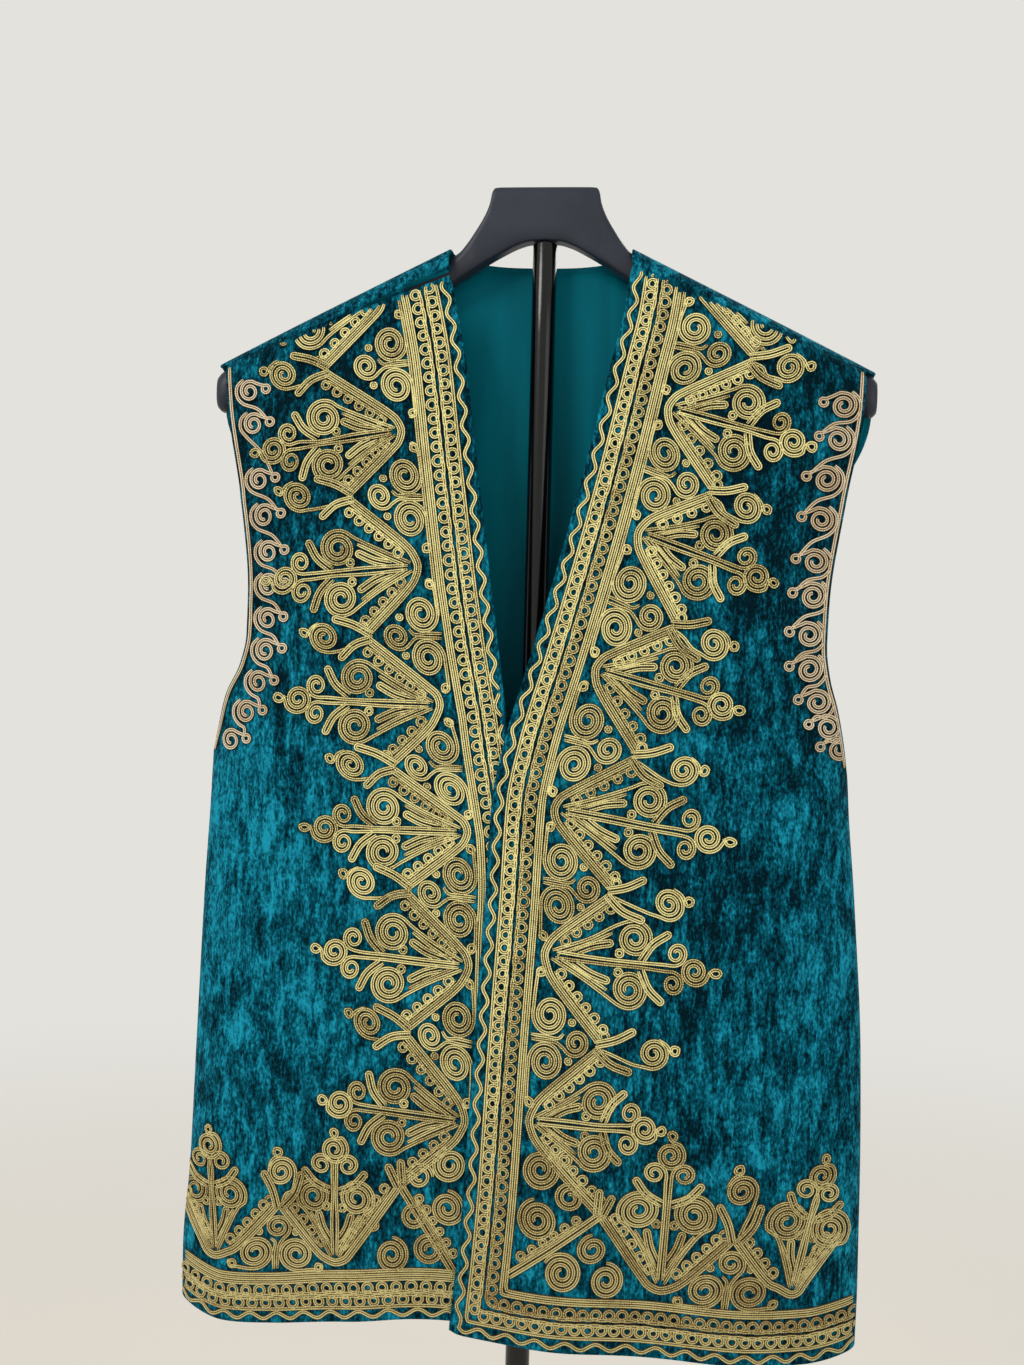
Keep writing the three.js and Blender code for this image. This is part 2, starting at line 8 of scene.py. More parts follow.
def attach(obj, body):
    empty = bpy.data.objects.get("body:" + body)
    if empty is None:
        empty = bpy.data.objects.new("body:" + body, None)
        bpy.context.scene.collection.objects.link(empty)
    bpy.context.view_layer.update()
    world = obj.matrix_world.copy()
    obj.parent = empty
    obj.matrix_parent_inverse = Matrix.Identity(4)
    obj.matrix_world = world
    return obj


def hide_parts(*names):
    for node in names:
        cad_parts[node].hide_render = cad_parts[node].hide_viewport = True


# An embroidered velvet waistcoat on its display stand. Lengths are in millimetres until a mesh is made.
# The front faces -Y, +X is the right-hand side as seen from the front, and a "rise" is a height above
# the chest line. Flat drawings on the fronts are complex numbers: x + i * rise.

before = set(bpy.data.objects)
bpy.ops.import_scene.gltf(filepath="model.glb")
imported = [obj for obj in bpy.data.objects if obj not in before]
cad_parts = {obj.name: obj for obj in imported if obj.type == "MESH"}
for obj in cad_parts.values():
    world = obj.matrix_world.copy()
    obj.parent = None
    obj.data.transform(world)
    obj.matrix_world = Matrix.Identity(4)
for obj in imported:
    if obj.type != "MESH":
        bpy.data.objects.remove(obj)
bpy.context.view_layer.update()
print("frame loaded")

mm = 0.001
dice = np.random.default_rng(41)

viewer = {
    "azimuth": 5.0,  # degrees towards the right-hand side
    "distance": 1000,
    "aside": -14.87,
    "height": 1120,
    "roll": 1.44,
    "lens": 39.56,
}


def makeCamera():
    turn = math.radians(viewer["azimuth"])
    right = Vector((math.cos(turn), math.sin(turn), 0))
    back = Vector((math.sin(turn), -math.cos(turn), 0))
    place = (back * viewer["distance"] + right * viewer["aside"]) * mm
    place.z = viewer["height"] * mm
    facing = Matrix((right, (0, 0, 1), back)).transposed().to_4x4()
    data = bpy.data.cameras.new("camera")
    data.lens = viewer["lens"]
    data.sensor_width = 36
    data.clip_start = 0.05
    camera = bpy.data.objects.new("camera", data)
    tilt = Matrix.Rotation(math.radians(viewer["roll"]), 4, "Z")
    camera.matrix_world = Matrix.Translation(place) @ facing @ tilt
    bpy.context.scene.collection.objects.link(camera)
    bpy.context.scene.camera = camera


makeCamera()
print("camera placed")


# The cut of the vest, as the frame has it

cut = {
    "chestLine": 1120,
    "frontThickness": 2.2,
    "backThickness": 1.6,
    "liningThickness": 1.0,
    "liningGap": 0.6,
    "seamGap": 0.4,
    "overlapLift": 4.8,  # the right front lies this far outside the left one
    "neckPointRise": 288,
    "shoulderSlope": 0.506,
    "capHeight": 16,
    "capPower": 2.5,
    "tipX": 218,
    "seamEndX": 210,
    "napeRise": 280.5,
    "sectionPower": 3.2,
    "sectionRoot": 0.56,
    "fluteDepth": 3,
    "fluteLength": 118,
    "backHemRise": -421,
    "seamDropAtTip": 5,
}
signOf = {"left": -1, "right": 1}
neckX = {"left": 63, "right": 59}
seamDropAtNeck = {"left": 21, "right": 13}

bodyRows = {  # half-widths of the body's oval, the armhole's edge inside it, and its depths
    "rise": [-432, -386, -330, -240, -140, -85, -56, -36, -12, 8, 28, 56, 120, 184, 210, 290],
    "left": [229, 229.5, 226, 223.5, 220.5, 218, 217, 217, 218, 219.5, 221, 224, 233, 252, 262, 275],
    "right": [220.5, 221.5, 221.5, 220, 213.5, 208.5, 206.5, 208, 211, 214, 217, 221, 231, 252, 262, 275],
    "leftEdge": [229, 229.5, 226, 223.5, 220.5, 218, 217, 212, 205.5, 195, 190.3, 190, 197.3, 208.3,
                 210, 210],
    "rightEdge": [220.5, 221.5, 221.5, 220, 213.5, 208.5, 206.5, 203, 197.5, 191.5, 188.8, 189.6,
                  198.6, 209.2, 210, 210],
    "front": [38, 38, 38, 37, 36, 36, 36, 36, 35.5, 35, 35, 34.5, 31, 26, 23.5, 16],
    "back": [33, 33, 33, 33, 32, 32, 31, 31, 30, 30, 29, 28, 25, 22, 20.5, 17],
}
frontEdgeRows = {
    "left": {
        "rise": [-420, -220, -140, -80, -34, 53, 149, 214, 246, 270],
        "x": [12, 8, 3, -6, -14.2, -26.7, -40.8, -50.2, -56.9, -62.6],
    },
    "right": {
        "rise": [-425, -333, -236, -140, -76, -36, 21, 85, 150, 214, 245, 278],
        "x": [-41.5, -34, -29.5, -24.4, -21.5, -14.2, 1.8, 19.1, 34.8, 48.5, 55.3, 59.5],
    },
}
hemRows = {
    "left": {
        "x": [-230, -195, -160, -110, -65, -20, 15],
        "rise": [-419, -426, -424, -416, -411.5, -413.5, -415],
    },
    "right": {
        "x": [-42, -34, 0, 60, 120, 185, 222],
        "rise": [-416, -419.5, -422.5, -426, -429, -431.5, -426],
    },
}


def lerp(a, b, t):
    return a + (b - a) * t


def smooth(start, end, at):
    t = np.clip((at - start) / (end - start), 0, 1)
    return t * t * (3 - 2 * t)


def curveThrough(rows, along, column):
    # a smooth curve through a table's columns that never swings past them
    at = np.array(rows[along], float)
    value = np.array(rows[column], float)
    slope = np.diff(value) / np.diff(at)
    tangent = np.empty(len(at))
    tangent[0], tangent[-1] = slope[0], slope[-1]
    before, after = slope[:-1], slope[1:]
    both = before * after
    tangent[1:-1] = np.where(both > 0, 2 * both / np.where(before + after == 0, 1, before + after), 0)

    def read(x):
        x = np.clip(x, at[0], at[-1])
        i = np.clip(np.searchsorted(at, x, side="right") - 1, 0, len(at) - 2)
        width = at[i + 1] - at[i]
        t = (x - at[i]) / width
        ends = value[i] * (1 + 2 * t) * (1 - t) ** 2 + value[i + 1] * t * t * (3 - 2 * t)
        return ends + width * t * (1 - t) * (tangent[i] * (1 - t) - tangent[i + 1] * t)

    return read


ovalHalf = {side: curveThrough(bodyRows, "rise", side) for side in signOf}
sideEdge = {side: curveThrough(bodyRows, "rise", side + "Edge") for side in signOf}
frontDepth = curveThrough(bodyRows, "rise", "front")
backDepth = curveThrough(bodyRows, "rise", "back")
frontEdge = {side: curveThrough(frontEdgeRows[side], "rise", "x") for side in signOf}
hem = {side: curveThrough(hemRows[side], "x", "rise") for side in signOf}


def bySide(x, table):
    return np.where(x < 0, table["left"], table["right"])


def ridgeRise(x):
    return cut["neckPointRise"] - cut["shoulderSlope"] * (np.abs(x) - bySide(x, neckX))


def seamDrop(side, x):
    t = (np.abs(x) - neckX[side]) / (cut["seamEndX"] - neckX[side])
    return lerp(seamDropAtNeck[side], cut["seamDropAtTip"], np.clip(t, 0, 1))


def seamRise(side, x):
    return ridgeRise(x) - seamDrop(side, x) - cut["seamGap"] / 2


def napeCurve(x):
    t = np.minimum(1, np.abs(x) / bySide(x, neckX)) ** 3
    return lerp(cut["napeRise"], cut["neckPointRise"], t)


def halfAt(x, rise):
    return np.where(x < 0, ovalHalf["left"](rise), ovalHalf["right"](rise))


def standOff(x, rise, depthAt):
    # how far the cloth stands from the middle plane: an oval with flat sides, rounded over the shoulders
    across = np.minimum(1, np.abs(x) / halfAt(x, rise))
    oval = (1 - across ** cut["sectionPower"]) ** cut["sectionRoot"]
    below = np.clip((ridgeRise(x) - rise) / cut["capHeight"], 0, 1)
    cap = (1 - (1 - below) ** cut["capPower"]) ** (1 / cut["capPower"])
    return depthAt(rise) * oval * cap


# Main creases, as (x, rise) at one end and at the other, how far the middle bows, how high the
# crease stands (+ is out of the cloth) and how wide it is.
creases = {
    "left": [
        ((-176, 62), (-138, 44), 2, 1.6, 5),
        ((-188, 40), (-150, 22), -2, -1.3, 6),
        ((-205, -48), (-150, -120), 7, 1.8, 9),
        ((-212, -66), (-172, -152), 6, -1.6, 9),
        ((-190, -30), (-120, -58), -5, 1.3, 8),
        ((-216, -150), (-150, -196), 6, 1.4, 13),
        ((-208, -226), (-132, -240), -5, -1.2, 12),
        ((-214, -262), (-138, -252), 5, 1.5, 9),
        ((-176, -110), (-170, -330), -8, 1.6, 20),
        ((-205, 120), (-160, 96), 3, 1.0, 6),
    ],
    "right": [
        ((196, -22), (120, -74), -6, 2.4, 7),
        ((190, -4), (128, -40), -5, -1.8, 7),
        ((200, -46), (134, -100), -8, -1.7, 9),
        ((203, -60), (150, -128), -6, 1.9, 9),
        ((176, 40), (148, 18), -3, 1.6, 6),
        ((182, 92), (152, 84), 3, -1.0, 6),
        ((206, -150), (136, -190), -7, 1.5, 14),
        ((212, -206), (126, -226), -5, -1.3, 13),
        ((214, -262), (140, -262), 6, 1.6, 8),
        ((158, -120), (150, -300), 9, 1.5, 19),
        ((194, -90), (196, -250), -5, 1.2, 15),
        ((146, 190), (178, 150), 4, 1.2, 8),
    ],
    "back": [
        ((-150, 196), (-70, 40), -14, 2.2, 16),
        ((146, 190), (82, 20), 12, 2.0, 15),
        ((-196, -30), (-96, -96), 9, 2.4, 11),
        ((192, -24), (104, -110), -8, 2.2, 12),
        ((-200, -58), (-120, -150), 7, -1.9, 12),
        ((196, -60), (128, -140), -7, -1.7, 11),
        ((-120, 120), (96, 132), -9, 1.3, 12),
        ((-64, -10), (-84, -400), 10, 2.8, 24),
        ((34, 30), (52, -396), -12, 2.4, 26),
        ((118, -90), (138, -404), 7, 2.6, 20),
        ((-150, -120), (-164, -400), -6, 2.0, 18),
        ((-8, -140), (-16, -404), 5, -1.8, 16),
        ((-210, -250), (-120, -232), 5, 1.3, 9),
        ((90, -262), (206, -250), -5, 1.4, 10),
    ],
}


def creaseAt(piece, x, rise):
    # creases and a slow unevenness, fading out towards the side seam and the shoulder
    total = 0.35 * np.sin(x / 17 + 2 * np.sin(rise / 41)) * np.sin(rise / 23 + 1.3 * np.sin(x / 29))
    total = total + 0.45 * np.sin(x / 31 - rise / 47 + 0.8)
    for start, end, bow, height, width in creases[piece]:
        way = np.subtract(end, start)
        length = np.hypot(*way)
        way = way / length
        along = ((x - start[0]) * way[0] + (rise - start[1]) * way[1]) / length
        off = (x - start[0]) * -way[1] + (rise - start[1]) * way[0]
        t = np.clip(along, 0, 1)
        off = off - bow * 4 * t * (1 - t)
        past = (along - t) * length
        fade = np.sin(np.pi * np.clip(0.06 + 0.88 * t, 0, 1)) ** 0.7
        spread = width * (0.75 + 0.5 * t)
        total = total + height * fade * np.exp(-(off ** 2 + past ** 2) / spread ** 2)
    toSide = halfAt(x, rise) - np.abs(x)
    toRidge = ridgeRise(x) - rise
    return total * smooth(1, 22, toSide) * smooth(4, 40, toRidge)


def frontY(side, x, rise):
    lower = smooth(-150, -430, rise)
    flat = 1 - np.minimum(1, np.abs(x) / halfAt(x, rise)) ** 4
    flute = cut["fluteDepth"] * lower * flat * np.cos(2 * np.pi * (x - 24) / cut["fluteLength"])
    lift = 0
    if side == "right":
        lift = cut["overlapLift"] * (1 - smooth(30, 130, x)) * smooth(268, 150, rise)
    # near the closure the two fronts keep their distance, so the creases fade there
    free = smooth(20, 70, np.abs(x + 14))
    crease = creaseAt(side, x, rise) * lerp(0.25, 1, free)
    return -cut["seamGap"] / 2 - standOff(x, rise, frontDepth) - lift - flute - crease


def backY(x, rise):
    return cut["seamGap"] / 2 + standOff(x, rise, backDepth) + creaseAt("back", x, rise)


def surfacePoints(yAt, outward, x, rise):
    # points of a surface, and the way out of the cloth there
    step = 0.05
    insideX = x - np.where(x < 0, -step, step)
    y = yAt(x, rise)
    slopeX = (y - yAt(insideX, rise)) / (x - insideX)
    slopeUp = (y - yAt(x, rise - step)) / step
    normal = np.stack([-slopeX, np.ones_like(x), -slopeUp], -1) * outward
    normal /= np.linalg.norm(normal, axis=-1, keepdims=True)
    return np.stack([x, y, cut["chestLine"] + rise], -1), normal


def frontPoints(side, x, rise):
    return surfacePoints(lambda a, b: frontY(side, a, b), -1, x, rise)


def backPoints(x, rise):
    return surfacePoints(backY, 1, x, rise)


class Value:
    # wraps a shader socket, so that formulas on it can be written with +, - and *
    def __init__(self, tree, socket=None):
        self.tree = tree
        self.socket = socket

    def node(self, kind, settings=None, values=None, output=None):
        made = self.tree.nodes.new(kind)
        for name, setting in (settings or {}).items():
            if name == "stops":
                setStops(made.color_ramp, setting)
            else:
                setattr(made, name, setting)
        for name, value in (values or {}).items():
            if isinstance(name, int):
                socket = made.inputs[name]
            else:
                socket = next(s for s in made.inputs if s.name == name and s.enabled)
            if isinstance(value, Value):
                self.tree.links.new(value.socket, socket)
            else:
                socket.default_value = value
        found = [s for s in made.outputs if s.enabled and output in (None, s.name)]
        return Value(self.tree, found[0])

    def place(self):
        # where a point is, in metres
        return self.node("ShaderNodeTexCoord", output="Object")

    def attribute(self, name):
        return self.node("ShaderNodeAttribute", {"attribute_name": name}, output="Fac")

    def maths(self, operation, a, b=0.0):
        return self.node("ShaderNodeMath", {"operation": operation}, {0: a, 1: b})

    def __add__(self, other):
        return self.maths("ADD", self, other)

    def __radd__(self, other):
        return self.maths("ADD", other, self)

    def __sub__(self, other):
        return self.maths("SUBTRACT", self, other)

    def __rsub__(self, other):
        return self.maths("SUBTRACT", other, self)

    def __mul__(self, other):
        return self.maths("MULTIPLY", self, other)

    def __rmul__(self, other):
        return self.maths("MULTIPLY", other, self)

    def within(self, low, high):
        # 0 below low, 1 above high, smooth between them
        settings = {"interpolation_type": "SMOOTHSTEP"}
        return self.node("ShaderNodeMapRange", settings, {0: self, 1: low, 2: high, 3: 0.0, 4: 1.0})

    def blend(self, a, b):
        # colour a where this is 0, colour b where it is 1
        return self.node("ShaderNodeMix", {"data_type": "RGBA"}, {"Factor": self, "A": a, "B": b}, "Result")

    def stretched(self, x, y, z):
        return self.node("ShaderNodeVectorMath", {"operation": "MULTIPLY"}, {0: self, 1: (x, y, z)})

    def bump(self, strength, distance):
        # the surface's normal where this is its height; distance in metres
        values = {"Strength": strength, "Distance": distance, "Height": self}
        return self.node("ShaderNodeBump", None, values, "Normal")

    def noise(self, scale, detail=4.0, roughness=0.55, distortion=0.0):
        values = {"Vector": self, "Scale": scale, "Detail": detail, "Roughness": roughness,
                  "Distortion": distortion}
        return self.node("ShaderNodeTexNoise", None, values)


def setStops(ramp, stops):
    while len(ramp.elements) < len(stops):
        ramp.elements.new(0.5)
    for element, (at, shade) in zip(ramp.elements, stops):
        element.position = at
        element.color = shade


def startMaterial(name):
    material = bpy.data.materials.new(name)
    material.use_nodes = True
    material.node_tree.nodes.clear()
    return material, Value(material.node_tree)


def finishMaterial(maker, varying, constants):
    # varying: linked sockets of the shader, constants: the sockets set on the shader itself
    shader = maker.node("ShaderNodeBsdfPrincipled", None, {**constants, **varying})
    out = maker.tree.nodes.new("ShaderNodeOutputMaterial")
    maker.tree.links.new(shader.socket, out.inputs["Surface"])


def colour(red, green, blue):
    # a colour given as it looks on a screen, 0 to 255
    def linear(part):
        part = part / 255
        return part / 12.92 if part <= 0.04045 else ((part + 0.055) / 1.055) ** 2.4

    return (linear(red), linear(green), linear(blue), 1.0)


# crushed velvet: the pile's light and dark patches are painted into the colour, as painted sheen where the
# pile catches the light and painted shade where it turns away; the middle colour is the velvet's own
velvetLook = {
    "dark": colour(0, 14, 22),
    "middle": colour(0, 72, 90),
    "paintedSheen": colour(24, 146, 174),
    "worn": colour(96, 120, 122),
    "patchSize": 46,  # per metre
    "streakSize": 210,
    "pileSize": 1500,
}


def velvetMaterial():
    look = velvetLook
    material, maker = startMaterial("crushedVelvet")
    place = maker.place()
    nap = maker.attribute("nap")
    patches = place.stretched(1, 1, 0.62).noise(look["patchSize"], 3.0, 0.6, 0.9)
    streaks = place.stretched(1, 1, 0.24).noise(look["streakSize"], 4.0, 0.65, 0.5)
    flecks = place.stretched(1, 1, 0.5).noise(look["streakSize"] * 3.1, 3.0, 0.6, 0.2)
    pile = place.noise(look["pileSize"], 2.0, 0.6)
    # the patches, streaks and flecks of the crushed pile and its zones; their light and dark are painted
    # sheen and painted shade, and they also shape the bump and the roughness
    lay = nap * 0.17 + (patches - 0.5) + (streaks - 0.5) * 1.35 + (flecks - 0.5) * 1.3 + 0.5
    stops = [(0.0, look["dark"]), (0.26, look["dark"]), (0.52, look["middle"]), (0.9, look["paintedSheen"])]
    tone = maker.node("ShaderNodeValToRGB", {"stops": stops}, {0: lay})
    wornMask = place.noise(120, 5.0, 0.7).within(0.66, 0.8) * place.noise(17, 2.0).within(0.52, 0.68)
    tone = (wornMask * 0.45).blend(tone, look["worn"])
    tone = (pile.within(0.35, 0.75) * 0.25).blend(tone, look["middle"])
    height = lay.within(0.1, 0.95) * 0.7 + streaks * 0.5 + pile * 0.35
    bump = height.bump(0.55, 0.0012)
    rough = 0.78 - lay.within(0.3, 1.0) * 0.2
    finishMaterial(maker, {"Base Color": tone, "Roughness": rough, "Normal": bump}, {
        "Sheen Weight": 0.08,
        "Sheen Roughness": 0.35,
        "Sheen Tint": (0.1, 0.7, 0.85, 1.0),
        "Specular IOR Level": 0.03,
    })
    return material


# the lining's deeper colour is painted shade in the hollows of its folds, the plainer one painted light on
# their crests
liningLook = {"deep": colour(0, 84, 100), "plain": colour(0, 112, 128)}


def liningMaterial():
    look = liningLook
    material, maker = startMaterial("satinLining")
    place = maker.place()
    folds = place.stretched(1, 1, 0.1).noise(26, 3.0, 0.5, 0.3)
    weave = place.stretched(1, 1, 0.15).noise(2600, 1.0)
    # painted shade and painted light: the colour follows the folds' height, darker in the hollows
    tone = folds.within(0.3, 0.7).blend(look["deep"], look["plain"])
    height = folds * 0.8 + weave * 0.12
    bump = height.bump(0.3, 0.002)
    finishMaterial(maker, {"Base Color": tone, "Normal": bump, "Roughness": 0.5 - folds * 0.15}, {
        "Specular IOR Level": 0.04,
    })
    return material


goldLook = {
    # dark stitching thread in the groove, and painted shade in the groove and along the braid's flanks
    "gap": colour(22, 15, 6),
    "thread": colour(122, 98, 36),
    # painted highlight on the braid's ridge tops
    "light": colour(255, 244, 168),
    "paleThread": colour(190, 162, 120),  # the finer braid at the armholes
    # painted highlight on the finer braid's ridge tops
    "paleHighlight": colour(236, 220, 188),
    # a brown used both for tarnished patches and for the painted shade towards the hem
    "tarnishAndShade": colour(112, 84, 36),
    "metal": 0.2,
    "fadeFrom": 0.68,  # metres above the floor; the braid's colour is painted darker towards the hem, as painted shade
    "fadeTo": 0.98,
    "stitch": 1.5,  # millimetres
}


def goldMaterial(name, thread, light):
    # thread is the braid's own colour; light is the painted highlight on its ridge tops
    look = goldLook
    material, maker = startMaterial(name)
    along = maker.attribute("along")
    across = maker.attribute("across")
    tone = maker.attribute("tone")
    place = maker.place()
    aside = maker.maths("ABSOLUTE", across)
    plait = maker.maths("SINE", along * (2 * math.pi / look["stitch"]) + aside * 3.4) * 0.5 + 0.5
    groove = 1 - aside.within(0.06, 0.36)
    border = aside.within(0.56, 0.84)
    ridge = (1 - groove) * (1 - border)
    glitter = place.noise(1900, 2.0, 0.7)
    clouds = place.noise(75, 3.0, 0.6)
    # painted highlight on the ridge tops, following the plait, with painted glints, plus each strand's random
    # tone and a cloudy random tone
    highlightAndTone = ridge * (0.42 + plait * 0.5 + (glitter - 0.5) * 3.4) + (tone - 0.5) * 0.5 + (clouds - 0.5) * 0.9
    body = highlightAndTone.within(0.05, 0.85).blend(thread, light)
    # dark stitch dots along the groove, which are real thread, with painted shade in the groove and on the
    # flanks where the braid meets the cloth
    stitchesAndShade = groove * (0.55 + plait * 0.5) + border * 0.95
    body = stitchesAndShade.within(0.0, 1.0).blend(body, look["gap"])
    rise = maker.node("ShaderNodeSeparateXYZ", None, {0: place}, "Z")
    # painted shade: the braid's colour is darkened towards the hem
    body = ((1 - rise.within(look["fadeFrom"], look["fadeTo"])) * 0.42).blend(body, look["tarnishAndShade"])
    # random tarnished patches, kept off the painted highlights
    tarnishAndShade = (place.noise(38, 4.0, 0.65).within(0.55, 0.78) * 0.4) * (1 - highlightAndTone.within(0.3, 0.9))
    body = tarnishAndShade.blend(body, look["tarnishAndShade"])
    height = ridge * 0.5 + plait * ridge * 0.6 + glitter * 0.3
    bump = height.bump(0.6, 0.0006)
    rough = 0.5 - glitter.within(0.45, 0.8) * 0.2
    finishMaterial(maker, {"Base Color": body, "Roughness": rough, "Normal": bump}, {
        "Metallic": look["metal"],
        "Specular IOR Level": 0.5,
    })
    return material


plasticLook = {
    "deep": colour(30, 35, 46),
    "plain": colour(40, 45, 57),
    "scuffed": colour(104, 106, 112),
    "grainSize": 1400,  # per metre
}


def plasticMaterial():
    look = plasticLook
    material, maker = startMaterial("mouldedPlastic")
    place = maker.place()
    grain = place.noise(look["grainSize"], 3.0, 0.6)
    clouds = place.noise(22, 3.0)
    scuffs = place.stretched(0.3, 1, 1).noise(160, 5.0, 0.75).within(0.66, 0.8)
    tone = clouds.within(0.3, 0.7).blend(look["deep"], look["plain"])
    tone = (scuffs * 0.3).blend(tone, look["scuffed"])
    height = grain * 0.5 + scuffs * 0.3
    bump = height.bump(0.12, 0.0004)
    finishMaterial(maker, {"Base Color": tone, "Roughness": 0.36 + grain * 0.14, "Normal": bump}, {
        "Specular IOR Level": 0.3,
    })
    return material


paintLook = {"black": colour(2, 3, 4), "dust": colour(40, 42, 45), "roughness": 0.2, "coat": 0.15}


def paintMaterial():
    look = paintLook
    material, maker = startMaterial("glossBlackPaint")
    place = maker.place()
    peel = place.noise(260, 2.0)
    dust = place.noise(900, 5.0, 0.7).within(0.68, 0.85)
    tone = (dust * 0.25).blend(look["black"], look["dust"])
    bump = peel.bump(0.05, 0.001)
    rough = look["roughness"] + dust * 0.3
    finishMaterial(maker, {"Base Color": tone, "Roughness": rough, "Normal": bump}, {
        "Specular IOR Level": 0.3,
        "Coat Weight": look["coat"],
        "Coat Roughness": 0.12,
    })
    return material


finishes = {
    "velvet": velvetMaterial(),
    "lining": liningMaterial(),
    "gold": goldMaterial("goldBraid", goldLook["thread"], goldLook["light"]),
    "paleGold": goldMaterial("paleGoldBraid", goldLook["paleThread"], goldLook["paleHighlight"]),
    "plastic": plasticMaterial(),
    "paint": paintMaterial(),
}
print("finishes made")


def makePiece(name, points, faces, finish, nodes, values=None, inside=None):
    # points in millimetres; values: point attributes; inside: the finish of the faces from a number on
    mesh = bpy.data.meshes.new(name)
    mesh.from_pydata((np.asarray(points) * mm).tolist(), [], faces)
    for key, data in (values or {}).items():
        mesh.attributes.new(key, "FLOAT", "POINT").data.foreach_set("value", np.asarray(data, np.float32))
    mesh.materials.append(finishes[finish])
    if inside:
        mesh.materials.append(finishes[inside[0]])
        which = np.zeros(len(mesh.polygons), np.int32)
        which[inside[1]:inside[2]] = 1
        mesh.polygons.foreach_set("material_index", which)
    mesh.polygons.foreach_set("use_smooth", [True] * len(mesh.polygons))
    mesh.update()
    piece = bpy.data.objects.new(name, mesh)
    bpy.context.scene.collection.objects.link(piece)
    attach(piece, "root")
    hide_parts(*nodes)
    return piece


def wallMesh(points, normals, inner, outer, bulge):
    # the closed wall between two distances outside a grid, with rounded rims; missing points are NaN.
    # It also gives the number of outer faces: they come first, then as many inner ones, then the rims.
    rows, columns = points.shape[:2]
    there = ~np.isnan(points[..., 0])
    index = np.full((rows, columns), -1)
    index[there] = np.arange(there.sum())
    count = int(there.sum())
    flat, away = points[there], normals[there]
    outside = flat + away * outer
    inside = flat + away * inner
    quad = np.stack([index[:-1, :-1], index[:-1, 1:], index[1:, 1:], index[1:, :-1]], -1).reshape(-1, 4)
    quad = quad[(quad >= 0).all(1)]
    faces = quad.tolist() + (quad[:, ::-1] + count).tolist()
    edges = {}
    for a, b, c, d in quad.tolist():
        for edge in ((a, b), (b, c), (c, d), (d, a)):
            if edge[::-1] in edges:
                del edges[edge[::-1]]
            else:
                edges[edge] = True
    lateral = {}
    for a, b in edges:
        way = outside[b] - outside[a]
        out = np.cross(way, away[a])
        out /= max(np.linalg.norm(out), 1e-9)
        for end in (a, b):
            lateral[end] = lateral.get(end, 0) + out
    rim = {}
    extra = []
    half = (outer - inner) / 2
    for at, out in lateral.items():
        out = out / max(np.linalg.norm(out), 1e-9)
        middle = (outside[at] + inside[at]) / 2
        ring = []
        for turn in (50, 90, 130):
            angle = math.radians(turn)
            sideways = out * half * math.sin(angle) * bulge[there][at]
            ring.append(2 * count + len(extra))
            extra.append(middle + away[at] * half * math.cos(angle) + sideways)
        rim[at] = [at, *ring, at + count]
    for a, b in edges:
        for i in range(4):
            faces.append([rim[b][i], rim[a][i], rim[a][i + 1], rim[b][i + 1]])
    return np.concatenate([outside, inside, np.array(extra)]), faces, len(quad)


def paintedPileLightAt(piece, x, rise):
    # painted light and painted shade in zones of the pile: dark across the upper chest, brighter towards the
    # hem
    total = np.zeros_like(x)
    for middle, size, tone in paintedPileLightZones[piece]:
        dx = (x - middle[0]) / size[0]
        dr = (rise - middle[1]) / size[1]
        total += tone * np.exp(-dx * dx - dr * dr)
    return total


paintedPileLightZones = {  # the middle and the half size of each zone, and how much lighter (+) it is painted, as painted light; below zero it is painted shade
    "left": [
        ((-150, 170), (90, 90), -1.0),
        ((-185, 0), (40, 60), -0.2),
        ((-190, -110), (60, 60), 0.7),
        ((-160, -240), (60, 90), 0.45),
        ((-120, -300), (40, 50), -0.5),
        ((-150, -60), (30, 40), -0.2),
    ],
    "right": [
        ((150, 170), (90, 110), -1.0),
        ((160, 20), (40, 60), -0.6),
        ((130, -130), (34, 50), -1.0),
        ((190, -100), (40, 60), 0.2),
        ((160, -230), (70, 60), 0.25),
        ((100, -200), (24, 40), -0.5),
    ],
    "back": [
        ((-100, 150), (90, 90), -0.4),
        ((60, -60), (90, 120), 0.5),
        ((-120, -250), (80, 110), 0.4),
        ((120, -320), (70, 80), -0.4),
    ],
}

panelMesh = {"across": 92, "up": 132}
rims = {"free": 0.9, "sewn": 0.12, "underarm": -50}  # how round an edge is; side seams end at the underarm


def frontGrid(side):
    sign = signOf[side]
    hemSide = float(hem[side](sign * 222))
    hemFront = float(hem[side](12 if side == "left" else -41.5))
    seamSide = float(seamRise(side, np.float64(sign * cut["seamEndX"])))
    seamFront = float(seamRise(side, np.float64(sign * neckX[side])))
    t = np.linspace(0, 1, panelMesh["across"]) ** 1.5
    if side == "right":
        t = t[::-1]
    v = np.linspace(0, 1, panelMesh["up"])[:, None]
    sideRise = lerp(hemSide, seamSide, v)
    frontRise = lerp(hemFront, seamFront, v)
    x = lerp(sign * sideEdge[side](sideRise), frontEdge[side](frontRise), t)
    wave = (hem[side](x) - lerp(hemSide, hemFront, t)) * (1 - v) ** 2
    return x, lerp(sideRise, frontRise, t) + wave


